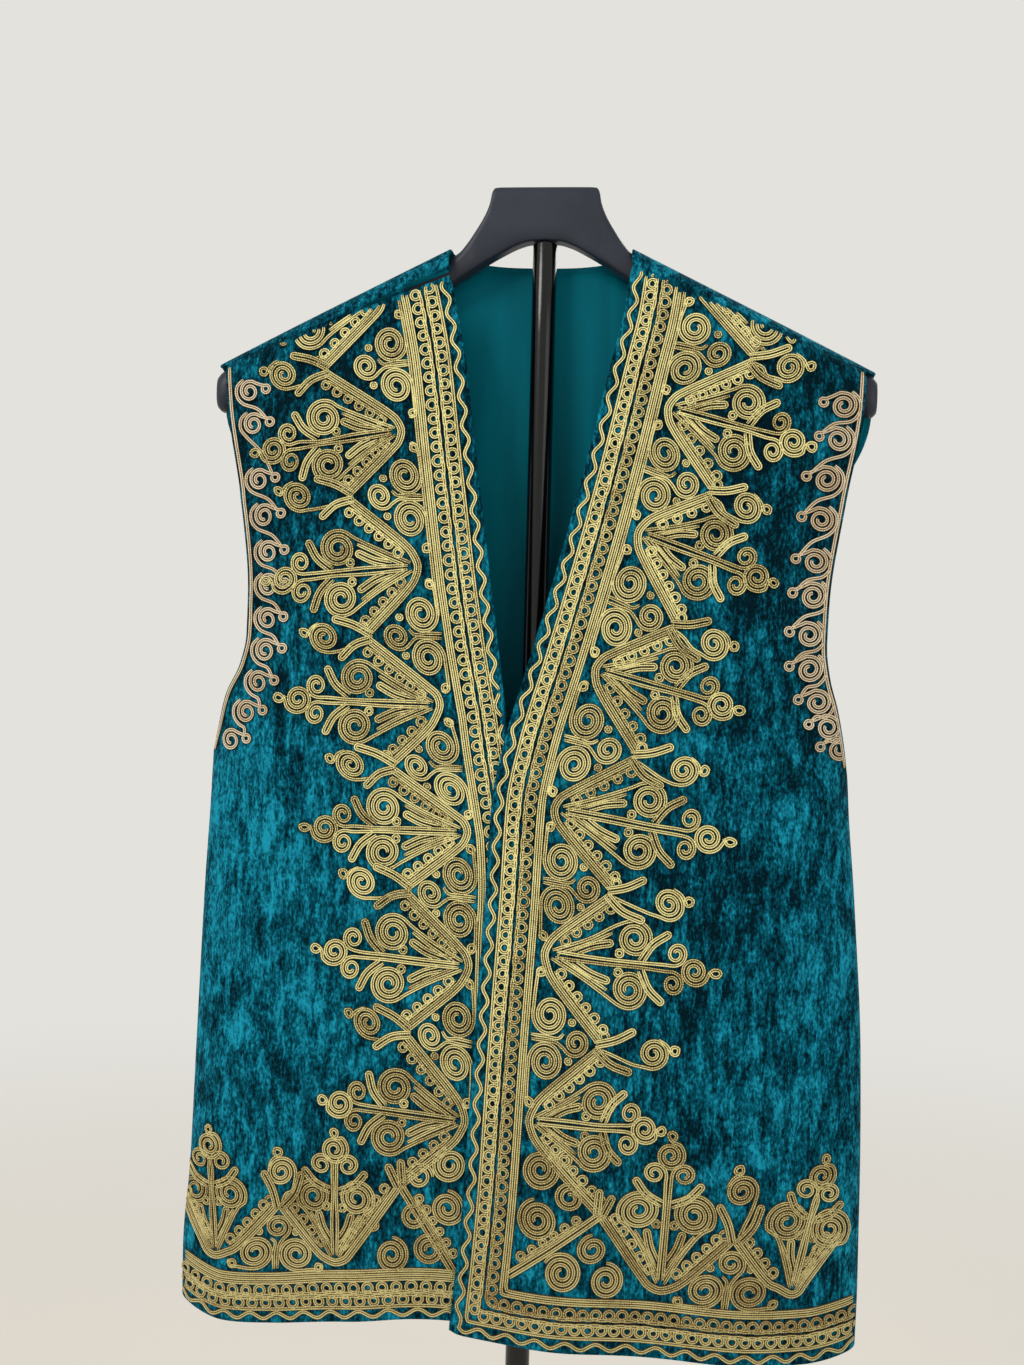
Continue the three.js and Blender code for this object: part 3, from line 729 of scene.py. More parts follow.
def makeFront(side):
    x, rise = frontGrid(side)
    points, normals = frontPoints(side, x, rise)
    bulge = np.ones_like(x)
    bulge[-1, :] = rims["sewn"]  # the shoulder seam
    column = 0 if side == "left" else -1
    bulge[rise[:, column] < rims["underarm"], column] = rims["sewn"]  # the side seam
    every, faces, quads = wallMesh(points, normals, -cut["frontThickness"], 0, bulge)
    every[:, 1] = np.minimum(every[:, 1], -cut["seamGap"] / 2)
    nap = paintedPileLightAt(side, every[:, 0], every[:, 2] - cut["chestLine"])
    return makePiece(side + "Front", every, faces, "velvet", ["front_" + side], {"nap": nap},
                     ("lining", quads, 2 * quads))


def necklineReach(side, drop):
    low, high = 0.0, float(neckX[side])
    for _ in range(24):
        x = (low + high) / 2
        at = np.float64(signOf[side] * x)
        if napeCurve(at) > ridgeRise(at) - drop:
            high = x
        else:
            low = x
    return high


backMesh = {"wing": 56, "nape": 16, "up": 116}


def backColumns(most):
    # the columns from right to left: their side, and their share of the wing or of the nape
    wing = [("wing", w) for w in 1 - np.linspace(0, 1, backMesh["wing"]) ** 1.4]
    nape = [("nape", n) for n in np.linspace(1, 0, backMesh["nape"], endpoint=False)[1:]]
    half = [(kind, share * most if kind == "wing" else share) for kind, share in wing + nape]
    right = [("right", kind, share) for kind, share in half]
    left = [("left", kind, share) for kind, share in half[::-1]]
    return right + [("right", "nape", 0.0)] + left


def backMainRows(columns, shares):
    points, normals = [], []
    for v in shares:
        xs, rises = [], []
        sideRise = lerp(cut["backHemRise"], float(ridgeRise(np.float64(cut["tipX"]))) - cut["capHeight"], v)
        for side, kind, share in columns:
            widening = float(smooth(120, 190, sideRise))
            reach = lerp(float(sideEdge[side](sideRise)), cut["tipX"], widening)
            neck = neckReach[side] * reach / cut["tipX"]
            x = signOf[side] * (share * neck if kind == "nape" else lerp(neck, reach, share))
            at = np.float64(x)
            top = float(napeCurve(at)) if kind == "nape" else float(ridgeRise(at)) - cut["capHeight"]
            xs.append(x)
            rises.append(lerp(cut["backHemRise"], top, v))
        p, n = backPoints(np.array(xs), np.array(rises))
        points.append(p)
        normals.append(n)
    return points, normals


def shoulderRow(columns, makeRow):
    # one row over both shoulders: nothing at the nape between them
    points = np.full((len(columns), 3), np.nan)
    normals = np.full((len(columns), 3), np.nan)
    for side in signOf:
        chosen = [i for i, (s, kind, share) in enumerate(columns) if s == side and kind == "wing"]
        shares = np.array([columns[i][2] for i in chosen])
        points[chosen], normals[chosen] = makeRow(side, shares)
    return points, normals


neckReach = {side: necklineReach(side, cut["capHeight"]) for side in signOf}


def backGrid():
    columns = backColumns(1.0)
    points, normals = backMainRows(columns, np.linspace(0, 1, backMesh["up"]))

    def behindRidge(drop):
        def row(side, shares):
            x = signOf[side] * lerp(necklineReach(side, drop), cut["tipX"], shares)
            return backPoints(x, ridgeRise(x) - drop)
        return row

    def beforeRidge(share):
        def row(side, shares):
            edge = lerp(cut["tipX"], cut["seamEndX"], share)
            x = signOf[side] * lerp(neckX[side], edge, shares)
            return frontPoints(side, x, ridgeRise(x) - share * (seamDrop(side, x) - cut["seamGap"] / 2))
        return row

    made = [behindRidge(drop) for drop in (13.5, 11, 8.5, 6.2, 4.3, 2.8, 1.6, 0.7, 0.2, 0)]
    made += [beforeRidge(share) for share in (0.02, 0.06, 0.12, 0.2, 0.3, 0.42, 0.56, 0.7, 0.85, 1)]
    for row in made:
        p, n = shoulderRow(columns, row)
        points.append(p)
        normals.append(n)
    return np.array(points), np.array(normals)


def makeBack():
    points, normals = backGrid()
    bulge = np.full(points.shape[:2], rims["free"])
    bulge[-1, :] = rims["sewn"]
    rise = points[..., 2] - cut["chestLine"]
    for column in (0, -1):
        bulge[rise[:, column] < rims["underarm"], column] = rims["sewn"]
    every, faces, quads = wallMesh(points, normals, -cut["backThickness"], 0, bulge)
    low = every[:, 2] - cut["chestLine"] < ridgeRise(every[:, 0]) - cut["capHeight"] + 1
    every[low, 1] = np.maximum(every[low, 1], cut["seamGap"] / 2)
    nap = paintedPileLightAt("back", every[:, 0], every[:, 2] - cut["chestLine"])
    return makePiece("vestBack", every, faces, "velvet", ["back"], {"nap": nap},
                     ("lining", quads, 2 * quads))


def makeLining():
    columns = backColumns(0.985)
    points, normals = backMainRows(columns, np.linspace(0.008, 0.9944, 90))
    outer = -cut["backThickness"] - cut["liningGap"]
    inner = outer - cut["liningThickness"]
    points, normals = np.array(points), np.array(normals)
    every, faces, _ = wallMesh(points, normals, inner, outer, np.full(points.shape[:2], 0.4))
    every[:, 1] = np.maximum(every[:, 1], cut["seamGap"] / 2)
    return makePiece("backLining", every, faces, "lining", ["back_lining"])


fronts = {side: makeFront(side) for side in signOf}
back = makeBack()
backLining = makeLining()
print("cloth made")


hangerRows = {  # half of the hanger: outlines seen from the front, half thickness, and how square it is
    "x": [0, 9, 17, 29, 33.6, 35.6, 37, 39.5, 42.6, 46.5, 51, 57, 64, 90, 130, 175, 205, 216, 219],
    "top": [329, 329, 329, 329, 328.6, 326, 319, 312, 306, 299.6, 293, 286.2, 282, 269, 248.8, 226, 210.8,
            205.2, 202],
    "foot": [293.5, 293.2, 291, 285, 282.4, 281.2, 280.4, 278.8, 276.8, 274.2, 271.2, 267, 262, 247, 225,
             200.5, 184, 178.4, 181],
    "half": [8.5, 8.5, 8.5, 8.5, 8.5, 8.5, 8.5, 8.6, 8.7, 8.8, 8.6, 8.4, 8.4, 9.6, 10.4, 10.8, 10.8, 10.4, 8],
    "power": [7, 7, 7, 7, 7, 7, 6.5, 6, 5.5, 5, 4, 3, 2.6, 2.8, 2.6, 2.6, 2.6, 2.6, 2.6],
}


def makeHanger():
    sides = 72
    read = {key: curveThrough(hangerRows, "x", key) for key in ("top", "foot", "half", "power")}
    steps = [np.arange(0, 33, 1.5), np.arange(33, 40, 0.5), np.arange(40, 66, 1.3), np.arange(66, 216, 3)]
    outwards = np.concatenate(steps + [[216, 217.5, 218.4, 218.9, 219]])
    stations = np.concatenate([-outwards[:0:-1], outwards])
    turn = 2 * np.pi * (np.arange(sides) + 0.5) / sides
    rings = []
    for x in stations:
        top, foot, half, power = (float(read[key](abs(x))) for key in ("top", "foot", "half", "power"))
        reach = (np.abs(np.cos(turn)) ** power + np.abs(np.sin(turn)) ** power) ** (-1 / power)
        up = (top + foot) / 2 + (top - foot) / 2 * reach * np.sin(turn)
        ring = np.stack([np.full(sides, x), half * reach * np.cos(turn), cut["chestLine"] + up], -1)
        rings.append(ring)
    points = np.concatenate(rings)
    faces = []
    for s in range(len(stations) - 1):
        for i in range(sides):
            a, b = s * sides + i, s * sides + (i + 1) % sides
            faces.append([a, b, b + sides, a + sides])
    last = (len(stations) - 1) * sides
    faces.append(list(range(sides))[::-1])
    faces.append([last + i for i in range(sides)])
    return makePiece("hangerHead", points, faces, "plastic", ["hanger"])


def turned(profile, sides):
    # a lathe piece from (radius, height) pairs, closed on the axis at both ends
    turn = 2 * np.pi * np.arange(sides) / sides
    points, faces = [[0, 0, profile[0][1]]], []
    for radius, height in profile[1:-1]:
        ring = [radius * np.cos(turn), radius * np.sin(turn), np.full(sides, height)]
        points += np.stack(ring, -1).tolist()
    points.append([0, 0, profile[-1][1]])
    rings = len(profile) - 2
    for i in range(sides):
        j = (i + 1) % sides
        faces.append([0, 1 + j, 1 + i])
        for r in range(rings - 1):
            a, b = 1 + r * sides + i, 1 + r * sides + j
            faces.append([a, b, b + sides, a + sides])
        a, b = 1 + (rings - 1) * sides + i, 1 + (rings - 1) * sides + j
        faces.append([a, b, len(points) - 1])
    return points, faces


pole = {"radius": 8, "foot": 6.3, "top": cut["chestLine"] + 292.7, "edge": 1.2}
base = {"radius": 140, "height": 12, "bossRadius": 14, "bossHeight": 34}


def makePole():
    r, edge = pole["radius"], pole["edge"]
    foot, top = pole["foot"], pole["top"]
    heights = np.linspace(foot + edge, top - edge, 24)
    profile = [(0, foot), (r - edge, foot), (r - edge * 0.3, foot + edge * 0.3)]
    profile += [(r, height) for height in heights]
    profile += [(r - edge * 0.3, top - edge * 0.3), (r - edge, top), (0, top)]
    points, faces = turned(profile, 64)
    return makePiece("standPole", points, faces, "paint", ["pole"])


def makeBase():
    r, h = base["radius"], base["height"]
    boss, tall = base["bossRadius"], base["bossHeight"]
    bore = pole["radius"] + 0.3
    profile = [(0, 0), (r - 2.4, 0), (r - 2, 0.05), (r - 0.8, 0.6), (r - 0.1, 1.6), (r, 2.2), (r, 5.8)]
    profile += [(r - 0.3, 6.9), (r - 1.2, 8), (r - 2.4, 8.7), (r - 4, 9.2), (r * 0.7, 10.4)]
    profile.append((r * 0.5, h - 0.8))
    profile += [(boss + 16, h - 0.2), (boss + 6, h), (boss + 3, h + 0.8), (boss + 1.3, h + 2.2)]
    profile += [(boss + 0.4, h + 4), (boss, h + 6), (boss, tall - 2), (boss - 0.4, tall - 0.6)]
    profile += [(boss - 1.5, tall), (bore + 0.3, tall), (bore, tall - 0.3), (bore, 6.2), (bore - 0.2, 6)]
    profile.append((0, 6))
    points, faces = turned(profile, 128)
    return makePiece("standBase", points, faces, "paint", ["base"])


makeHanger()
makePole()
makeBase()
print("stand made")


braid = {
    "width": 3.0,
    "pitch": 3.25,  # from one turn of a coil to the next
    "longest": 3.6,  # step along a straight run
    "turnStep": 21,  # degrees in one step of a bend
    "tightest": 1.6,  # radius of the smallest bend
    # across, from edge to edge, and height: two ridges with a groove between them
    "section": [(-1.52, 0.1), (-1.46, 0.62), (-0.76, 1.2), (0, 0.5), (0.76, 1.2), (1.46, 0.62),
                (1.52, 0.1)],
}


def evenOut(line):
    # points that are close where the line bends and far apart where it is straight
    line = np.asarray(line, complex)
    line = line[np.concatenate([[True], np.abs(np.diff(line)) > 1e-4])]
    way = np.diff(line)
    bend = np.abs(np.angle(way[1:] / way[:-1]))
    bend = np.concatenate([[0], bend / 2]) + np.concatenate([bend / 2, [0]])
    cost = np.abs(way) / braid["longest"] + bend / math.radians(braid["turnStep"])
    total = np.concatenate([[0], np.cumsum(cost)])
    count = max(2, int(math.ceil(total[-1])) + 1)
    share = np.linspace(0, total[-1], count)
    return np.interp(share, total, line.real) + 1j * np.interp(share, total, line.imag)


def curve(points):
    # a smooth line through given points
    p = np.asarray(points, complex)
    p = np.concatenate([[2 * p[0] - p[1]], p, [2 * p[-1] - p[-2]]])
    parts = []
    for a, b, c, d in zip(p[:-3], p[1:-2], p[2:-1], p[3:]):
        first, middle, last = (max(abs(q - r), 1e-6) ** 0.5 for q, r in ((b, a), (c, b), (d, c)))
        leave = (c - b) - middle * ((c - a) / (first + middle) - (b - a) / first)
        arrive = (c - b) - middle * ((d - b) / (middle + last) - (d - c) / last)
        t = np.linspace(0, 1, 13)[:-1]
        line = b * (1 + 2 * t) * (1 - t) ** 2 + c * t * t * (3 - 2 * t)
        parts.append(line + leave * t * (1 - t) ** 2 - arrive * t * t * (1 - t))
    return np.concatenate(parts + [p[-2:-1]])


def beside(line, distance):
    # the line moved to its left by a distance
    way = np.gradient(line)
    return line + 1j * way / np.maximum(np.abs(way), 1e-9) * distance


def coilTurns(radius, start, hand, inner=None):
    # offsets from a coil's centre, winding inwards; start in degrees, hand +1 anticlockwise
    inner = braid["tightest"] if inner is None else inner
    turns = max(0.6, (radius - inner) / braid["pitch"])
    angle = np.linspace(0, turns * 2 * np.pi, max(14, int(turns * 30)))
    away = radius - braid["pitch"] * angle / (2 * np.pi)
    away *= 1 + 0.035 * np.sin(2 * angle + radius * 3)  # hand-laid, so never quite round
    return away * np.exp(1j * (math.radians(start) + hand * angle))


class Needlework:
    # the braid runs of one piece, drawn in a frame of their own: u from foot to tip, v across
    def __init__(self, side, foot=0j, tip=1 + 0j, reach=1.0, half=1.0, mirrored=False):
        self.side = side
        self.runs = []
        self.foot = foot
        self.along = (tip - foot) / abs(tip - foot)
        self.up = self.along * (-1j if mirrored else 1j)
        self.stretch = abs(tip - foot) / reach
        self.spread = half

    def at(self, u, v):
        shake = complex(*dice.normal(0, 0.22, 2))
        return self.foot + self.along * u * self.stretch + self.up * v * self.spread + shake

    def turned(self, offsets):
        # offsets of a round form, turned into the frame but not stretched
        offsets = np.asarray(offsets, complex)
        return self.along * offsets.real + self.up * offsets.imag

    def run(self, line, lift=0.0):
        self.runs.append((np.asarray(line, complex), lift))

    def line(self, points, lift=0.0):
        self.run(curve([self.at(u, v) for u, v in points]), lift)

    def coil(self, u, v, radius, start, hand, lead=(), lift=0.0, inner=None, oval=(0.96, 1.03)):
        # a coil whose outer end comes from the lead's points; radius is to the braid's outside
        size = radius * dice.uniform(0.98, 1.03)
        offsets = coilTurns(size, start, hand, inner)
        offsets = offsets.real * oval[0] + 1j * offsets.imag * oval[1]
        turns = self.at(u, v) + self.turned(offsets)
        if len(lead):
            into = curve([self.at(a, b) for a, b in lead] + [turns[0], turns[3]])
            turns = np.concatenate([into[:12 * len(lead)], turns])
        self.run(turns, lift)

    def ring(self, u, v, radius, start=0, lift=0.0):
        size = max(braid["tightest"], radius - braid["width"] / 2)
        angle = math.radians(start) + np.linspace(0, 2 * np.pi, 17)
        self.run(self.at(u, v) + self.turned(size * np.exp(1j * angle)), lift)

    def leaf(self, near, far, lift=0.0, bow=0.0, gap=1.62):
        # a closed narrow loop from one point to another
        a, b = self.at(*near), self.at(*far)
        way = (b - a) / abs(b - a)
        middle = (a + b) / 2 + way * 1j * bow
        tip = b - way * gap
        spine = curve([a, middle, tip])
        upper, lower = beside(spine, gap), beside(spine, -gap)
        end = (spine[-1] - spine[-2]) / abs(spine[-1] - spine[-2])
        cap = tip + end * gap * np.exp(1j * (np.pi / 2 - np.linspace(0, np.pi, 9)[1:-1]))
        self.run(np.concatenate([upper, cap, lower[::-1]]), lift)

    def loops(self, line, pitch, radius, hand, lift=0.0, phase=0.0):
        # a run of small rings along a line; the braid steps on to the next ring on the hand's side
        line = evenOutFine(np.asarray(line, complex))
        length = np.concatenate([[0], np.cumsum(np.abs(np.diff(line)))])
        count = max(1, round(length[-1] / pitch))
        turn = np.arange(0.02, count - 0.02, 1 / 24)
        nearest = np.round(turn)
        base = nearest - 0.5 + smooth(-0.17, 0.17, turn - nearest)
        steps = np.clip((base + phase) / count, 0, 1) * length[-1]
        way = np.gradient(line)
        way /= np.maximum(np.abs(way), 1e-9)
        way = np.interp(steps, length, way.real) + 1j * np.interp(steps, length, way.imag)
        centre = np.interp(steps, length, line.real) + 1j * np.interp(steps, length, line.imag)
        angle = 2 * np.pi * turn
        size = radius * (1 + 0.07 * np.sin(turn * 1.7 + phase) + 0.05 * np.sin(turn * 2.9))
        self.run(centre + way * size * (np.sin(angle) + 1j * hand * np.cos(angle)), lift)


def outside(side, line):
    # what lies beyond the cloth, or too far under the other front to be seen
    x, rise = line.real, line.imag
    edge = braid["width"] / 2
    beyond = rise > seamRise(side, x) - edge - 0.5
    beyond |= np.abs(x) > sideEdge[side](rise) - edge - 0.4
    beyond |= rise < hem[side](x) + edge
    if side == "left":
        beyond |= x > frontEdge["left"](rise) - edge
        beyond |= x > frontEdge["right"](rise) + border["tuckedUnder"]
    return beyond


def sewOn(name, work, nodes, finish="gold"):
    # sweeps the braid's section along each run, over the front's surface
    section = np.array(braid["section"])
    ring = len(section)
    points, faces, along, across, tone = [], [], [], [], []
    start = 0
    kept = []
    for line, lift in work.runs:
        line = evenOut(line)
        hidden = outside(work.side, line)
        shade = dice.uniform(0, 1)
        low = 0
        for i in range(len(line) + 1):
            if i == len(line) or hidden[i]:
                if i - low > 2:
                    kept.append((line[low:i], lift + dice.uniform(0, 0.12), shade))
                low = i + 1
    if not kept:
        return None
    every = np.concatenate([line for line, _, _ in kept])
    seats, normals = frontPoints(work.side, every.real, every.imag)
    for line, lift, shade in kept:
        count = len(line)
        seat, normal = seats[start:start + count], normals[start:start + count]
        start += count
        way = np.gradient(seat, axis=0)
        way /= np.maximum(np.linalg.norm(way, axis=1, keepdims=True), 1e-9)
        sideways = np.cross(way, normal)
        sideways /= np.maximum(np.linalg.norm(sideways, axis=1, keepdims=True), 1e-9)
        spread = np.ones(count)
        spread[0] = spread[-1] = 0.75
        aside = section[None, :, 0] * spread[:, None]
        above = section[None, :, 1] * spread[:, None] + lift
        body = seat[:, None, :] + sideways[:, None, :] * aside[..., None]
        body += normal[:, None, :] * above[..., None]
        first = len(points) * ring
        length = np.concatenate([[0], np.cumsum(np.linalg.norm(np.diff(seat, axis=0), axis=1))])
        base = np.arange(count - 1)[:, None] * ring
        j = np.arange(ring)
        k = (j + 1) % ring
        quad = np.stack([base + j, base + k, base + k + ring, base + j + ring], -1).reshape(-1, 4)
        faces += (quad + first).tolist()
        faces.append((np.arange(ring)[::-1] + first).tolist())
        faces.append((np.arange(ring) + first + (count - 1) * ring).tolist())
        points += list(body)
        along += np.repeat(length + dice.uniform(0, 9), ring).tolist()
        across += np.tile(section[:, 0] / section[-1, 0], count).tolist()
        tone += [shade] * (count * ring)
    values = {"along": along, "across": across, "tone": tone}
    return makePiece(name, np.concatenate(points), faces, finish, nodes, values)


border = {  # distances from the edge of the front
    "wave": 4.3,
    "waveHeight": 1.95,
    "waveLength": 18.6,
    "line": 9.6,
    "outerLoops": 14.3,
    "innerLoops": 24.0,
    "loopPitch": {"left": 9.3, "right": 8.3},
    "loopRadius": 3.0,
    "extra": 35.6,  # one more braid along the upper part
    "extraFrom": 40,
    "thick": [29.9, 32.7],
    "inner": 34.4,
    "tuckedUnder": 9,  # how far the left braids run on under the right front
    "crossing": [46, 41, 41, 41, 41, 41],  # from between two Vs' feet to where their arms cross
    "hemCrossing": 37,
}


bandShift = {  # how far the left band strays from its front edge on the way down
    "rise": [-430, -198, -166, -133, -100, -68, -24, 20, 60, 300],
    "shift": [-4, -4, -2, 1.6, 4.6, 4.2, 4.2, 1.4, 0, 0],
}


def borderLine(side, distance, hemDistance=None):
    # a line inside the edge, from the shoulder down the front and along the hem to the side
    sign = signOf[side]
    edge, low = frontEdge[side], hem[side]
    rise = np.linspace(290, -430, 241)
    down = beside(edge(rise) + 1j * rise, distance * sign)
    if side == "left":
        share = smooth(0, 12, distance)
        down = down + share * np.interp(down.imag, bandShift["rise"], bandShift["shift"])
    x = np.linspace(-41 if side == "right" else 11, sign * 234, 91)
    outwards = beside(x + 1j * low(x), (distance if hemDistance is None else hemDistance) * sign)
    down = down[down.imag > np.interp(down.real, *sortedLine(outwards)) + 2.5]
    inward = np.interp(-outwards.imag, -down.imag, down.real)
    outwards = outwards[(outwards.real - inward) * sign > 2.5]
    corner = [down[-1], complex(down[-1].real, outwards[0].imag), outwards[0]]
    middle = corner[1] * 0.6 + (corner[0] + corner[2]) * 0.2
    return np.concatenate([down, [middle], outwards])


def sortedLine(line):
    order = np.argsort(line.real)
    return line.real[order], line.imag[order]


def waved(line, length, height):
    line = evenOutFine(line)
    way = np.gradient(line)
    way /= np.maximum(np.abs(way), 1e-9)
    run = np.concatenate([[0], np.cumsum(np.abs(np.diff(line)))])
    count = round(run[-1] / length)
    phase = 2 * np.pi * run / run[-1] * count + 0.5 * np.sin(run / 37)
    return line + 1j * way * height * np.sin(phase)


def evenOutFine(line, step=0.9):
    run = np.concatenate([[0], np.cumsum(np.abs(np.diff(line)))])
    at = np.arange(0, run[-1], step)
    return np.interp(at, run, line.real) + 1j * np.interp(at, run, line.imag)


hemBand = {  # distances from the hem, where they differ from those along the front edge
    "left": {"line": 8.6, "outerLoops": 12.9, "innerLoops": 20.9, "thick": [25.9, 28.7], "extra": 31.5},
    "right": {"line": 9.8, "outerLoops": 15.2, "innerLoops": 24.8, "thick": [31.2, 34.0], "extra": 36.4},
}


def makeBorder(side):
    sign = signOf[side]
    low = hemBand[side]
    work = Needlework(side)
    work.run(waved(borderLine(side, border["wave"]), border["waveLength"], border["waveHeight"]))
    work.run(borderLine(side, border["line"], low["line"]))
    pitch = border["loopPitch"][side]
    outer = borderLine(side, border["outerLoops"], low["outerLoops"])
    inner = borderLine(side, border["innerLoops"], low["innerLoops"])
    work.loops(outer, pitch, border["loopRadius"], sign, 0.15)
    work.loops(inner, pitch, border["loopRadius"], -sign, 0.3, 0.5)
    for i, distance in enumerate(border["thick"]):
        work.run(borderLine(side, distance, low["thick"][i]), 0.1)
    extra = borderLine(side, border["extra"], low["extra"])
    work.run(extra[extra.imag > border["extraFrom"]], 0.12)
    if side == "left":
        work.run(extra[extra.imag < hem[side](0) + border["inner"]], 0.12)
    return sewOn(side + "Border", work, [f"front_{side}_edge_band", f"front_{side}_hem_band"])


def innerEdge(side, rise):
    # a point of the border's inner side at a rise
    line = borderLine(side, border["inner"])
    down = line[line.imag > -380]
    order = np.argsort(down.imag)
    return complex(np.interp(rise, down.imag[order], down.real[order]), rise)


arms = {
    "behind": 7,  # the arms aim at a point this far behind the foot, which makes the foot blunt
    "bend": 21,  # from that point to where an arm gets straight; half its length if the arm is short
    "short": 40,
    "second": 2.85,  # from the first braid to the second one
    "rings": 8.1,  # and to the row of rings
    "ringPitch": 8.9,
    "ringRadius": 2.5,
}


def armLine(work, ends):
    # one line up an arm, round the blunt foot of the V and up the other arm
    along = work.along
    points = [ends[0]]
    for end, back in ((ends[0], False), (ends[1], True)):
        behind = work.foot - along * arms["behind"]
        length = abs(end - behind)
        way = (end - behind) / length
        reach = arms["bend"] if length > arms["short"] else length / 2
        bend = behind + way * reach
        aside = bend - work.foot - along * np.real((bend - work.foot) * np.conj(along))
        near = work.foot + along * 4.4 + aside * 0.62
        points += [work.foot + along * 1.6, near, bend] if back else [bend, near]
    return curve(points + [ends[1]])


def rowOfArms(work, ends):
    # the double arms of a V, and a row of rings along the inside of each
    line = evenOutFine(armLine(work, ends))
    inwards = 1 if np.imag(work.along / (line[-1] - line[-2])) > 0 else -1
    work.run(line, 0.35)
    work.run(beside(line, arms["second"] * inwards), 0.4)
    rings = beside(line, arms["rings"] * inwards)
    middle = int(np.argmin(np.abs(line - work.foot)))
    for part, hand in ((rings[:middle][::-1], 1), (rings[middle:], -1)):
        part = part[13:-2]
        if len(part) > 12:
            work.loops(part, arms["ringPitch"], arms["ringRadius"], hand * inwards, 0.12)


palmette = {  # one half of it: how far towards the tip, and how far out from the stem
    "length": 98,
    "big": 11.8,  # radius of the two big coils
    "bigCoil": (52, 3.4),  # centre, its radius further out
    "bigLead": [(7, 2.4), (27, 12.6), (41, 9.2)],  # the last point is a radius further out
    "bigOutline": [(10, 0.6), (25, 8.4), (39.5, 5)],
    "innerLeaf": [(19, 2.4), (40, 11.4)],
    "ring": (44.5, 5.6),
    "feather": [(57, 2.6), (71, 21)],
    "leafletCoil": (76.3, 9.0),
    "stem": [(9, 1.5), (34, 1.8), (56, 1.3), (70, 1.7)],
    "topCoil": (87.6, 0),
    "neck": [(95.8, 1.2), (98.3, -1.9), (101.1, -1.9), (102.4, 0.3), (101.0, 2.2), (98.2, 1.9),
             (96.0, -0.9)],
}


def oneHalf(points, m, more=0):
    # the points on one side of the stem, the last one further out by more
    *first, (u, v) = points
    return [(a, b * m) for a, b in first] + [(u, (v + more) * m)]


def drawPalmette(work, ends, big):
    # a full palmette in a V: arms, rings, two big coils, leaves, stem, feathers and a trefoil
    shape = palmette
    rowOfArms(work, ends)
    for m in (1, -1):
        lead = oneHalf(shape["bigLead"], m, big)
        work.coil(*oneHalf([shape["bigCoil"]], m, big)[0], big, 119 * m, -m, lead, 0.2, 2.5)
        work.line(oneHalf(shape["bigOutline"], m, big), 0.15)
        work.leaf(*oneHalf(shape["innerLeaf"], m), 0.05, 1.2 * m)
        work.ring(*oneHalf([shape["ring"]], m)[0], 3.6, 180)
        work.leaf(*oneHalf(shape["feather"], m), 0.5, 2.2 * m)
        lead = oneHalf(shape["stem"], m)
        work.coil(*oneHalf([shape["leafletCoil"]], m)[0], 7.1, -90 * m, m, lead, 0.45)
    work.coil(*shape["topCoil"], 9.2, -35, -1, shape["neck"], 0.62)


def makePalmette(name, side, foot, tip, ends, nodes, mirrored, big=palmette["big"]):
    half = abs(ends[0] - ends[1]) / 2
    work = Needlework(side, foot, tip, palmette["length"], min(1.08, max(0.8, half / 42)), mirrored)
    drawPalmette(work, ends, big)
    return sewOn(name, work, nodes)


filling = {
    "hook": [(6.6, 1.5), (4.2, 2.4), (1.9, 0.6), (2.6, -2.4), (5.6, -1.4), (5.4, 1.6), (2.4, 1.4),
             (1.7, -4.5)],
    "neck": [(-9, 9.3), (-3.4, 6.2), (0.8, 0.8), (3.6, 1.6), (3.8, 5.0), (1.0, 5.8), (-0.6, 3.6),
             (0.6, 0.6)],
    "big": 11.8,  # the largest radius of the two coils on the border
    "third": 8.8,
    "flower": 9.8,
    "usual": 44,  # from the border to the crossing; a shorter filling is pressed together
}


def makeSpandrel(name, side, foot, tip, crossing, nodes, feet, above=None):
    # the filling between two Vs: two big coils on the border, a third one, and a flower past the crossing
    work = Needlework(side, foot, tip, abs(tip - foot))
    work.up = (feet[0] - feet[1]) / abs(feet[0] - feet[1])
    half = abs(feet[0] - feet[1]) / 2
    cross, end = abs(crossing - foot), abs(tip - foot)
    k = min(1, cross / filling["usual"])
    big = min(filling["big"], half * 0.275)
    far = half - 11.5
    for m in (1, -1):
        hook = [(u, (far + v) * m) for u, v in filling["hook"]]
        work.coil(12.1 * k, (big + 2.9) * m, big, 165 * m, m, hook, 0.2, 2.4)
        work.ring(27 * k, 12.6 * m, 3.0, 90)
    work.line([(1, 1.5), (11, 1.6), (19 * k, 1.2), (22 * k, 4.5)], 0.1)
    lead = [(1.5, -1.4), (11, -1.2), (18 * k, -1.6)]
    work.coil(30.5 * k, 0.2, filling["third"] * k, 215, 1, lead, 0.25)
    work.ring(cross + 4.5, 7.0, 4.1, 90, 0.2)
    work.leaf((cross - 1, 1.2), (cross + 23, 12.5), 0.75, -1.4)
    work.leaf((cross - 1, -1.6), (cross + 23, -14), 0.75, -2.6)
    lead = [(cross + 1, -1.5), (cross + 9, -4.0), (end - 24, -8.2), (end - 17, -9.4)]
    work.coil(end - 11.3, 0, filling["flower"], -88, 1, lead, 0.3)
    work.line([(end + u, v) for u, v in filling["neck"]], 0.35)
    if above:
        work.runs += above.runs
    return sewOn(name, work, nodes)


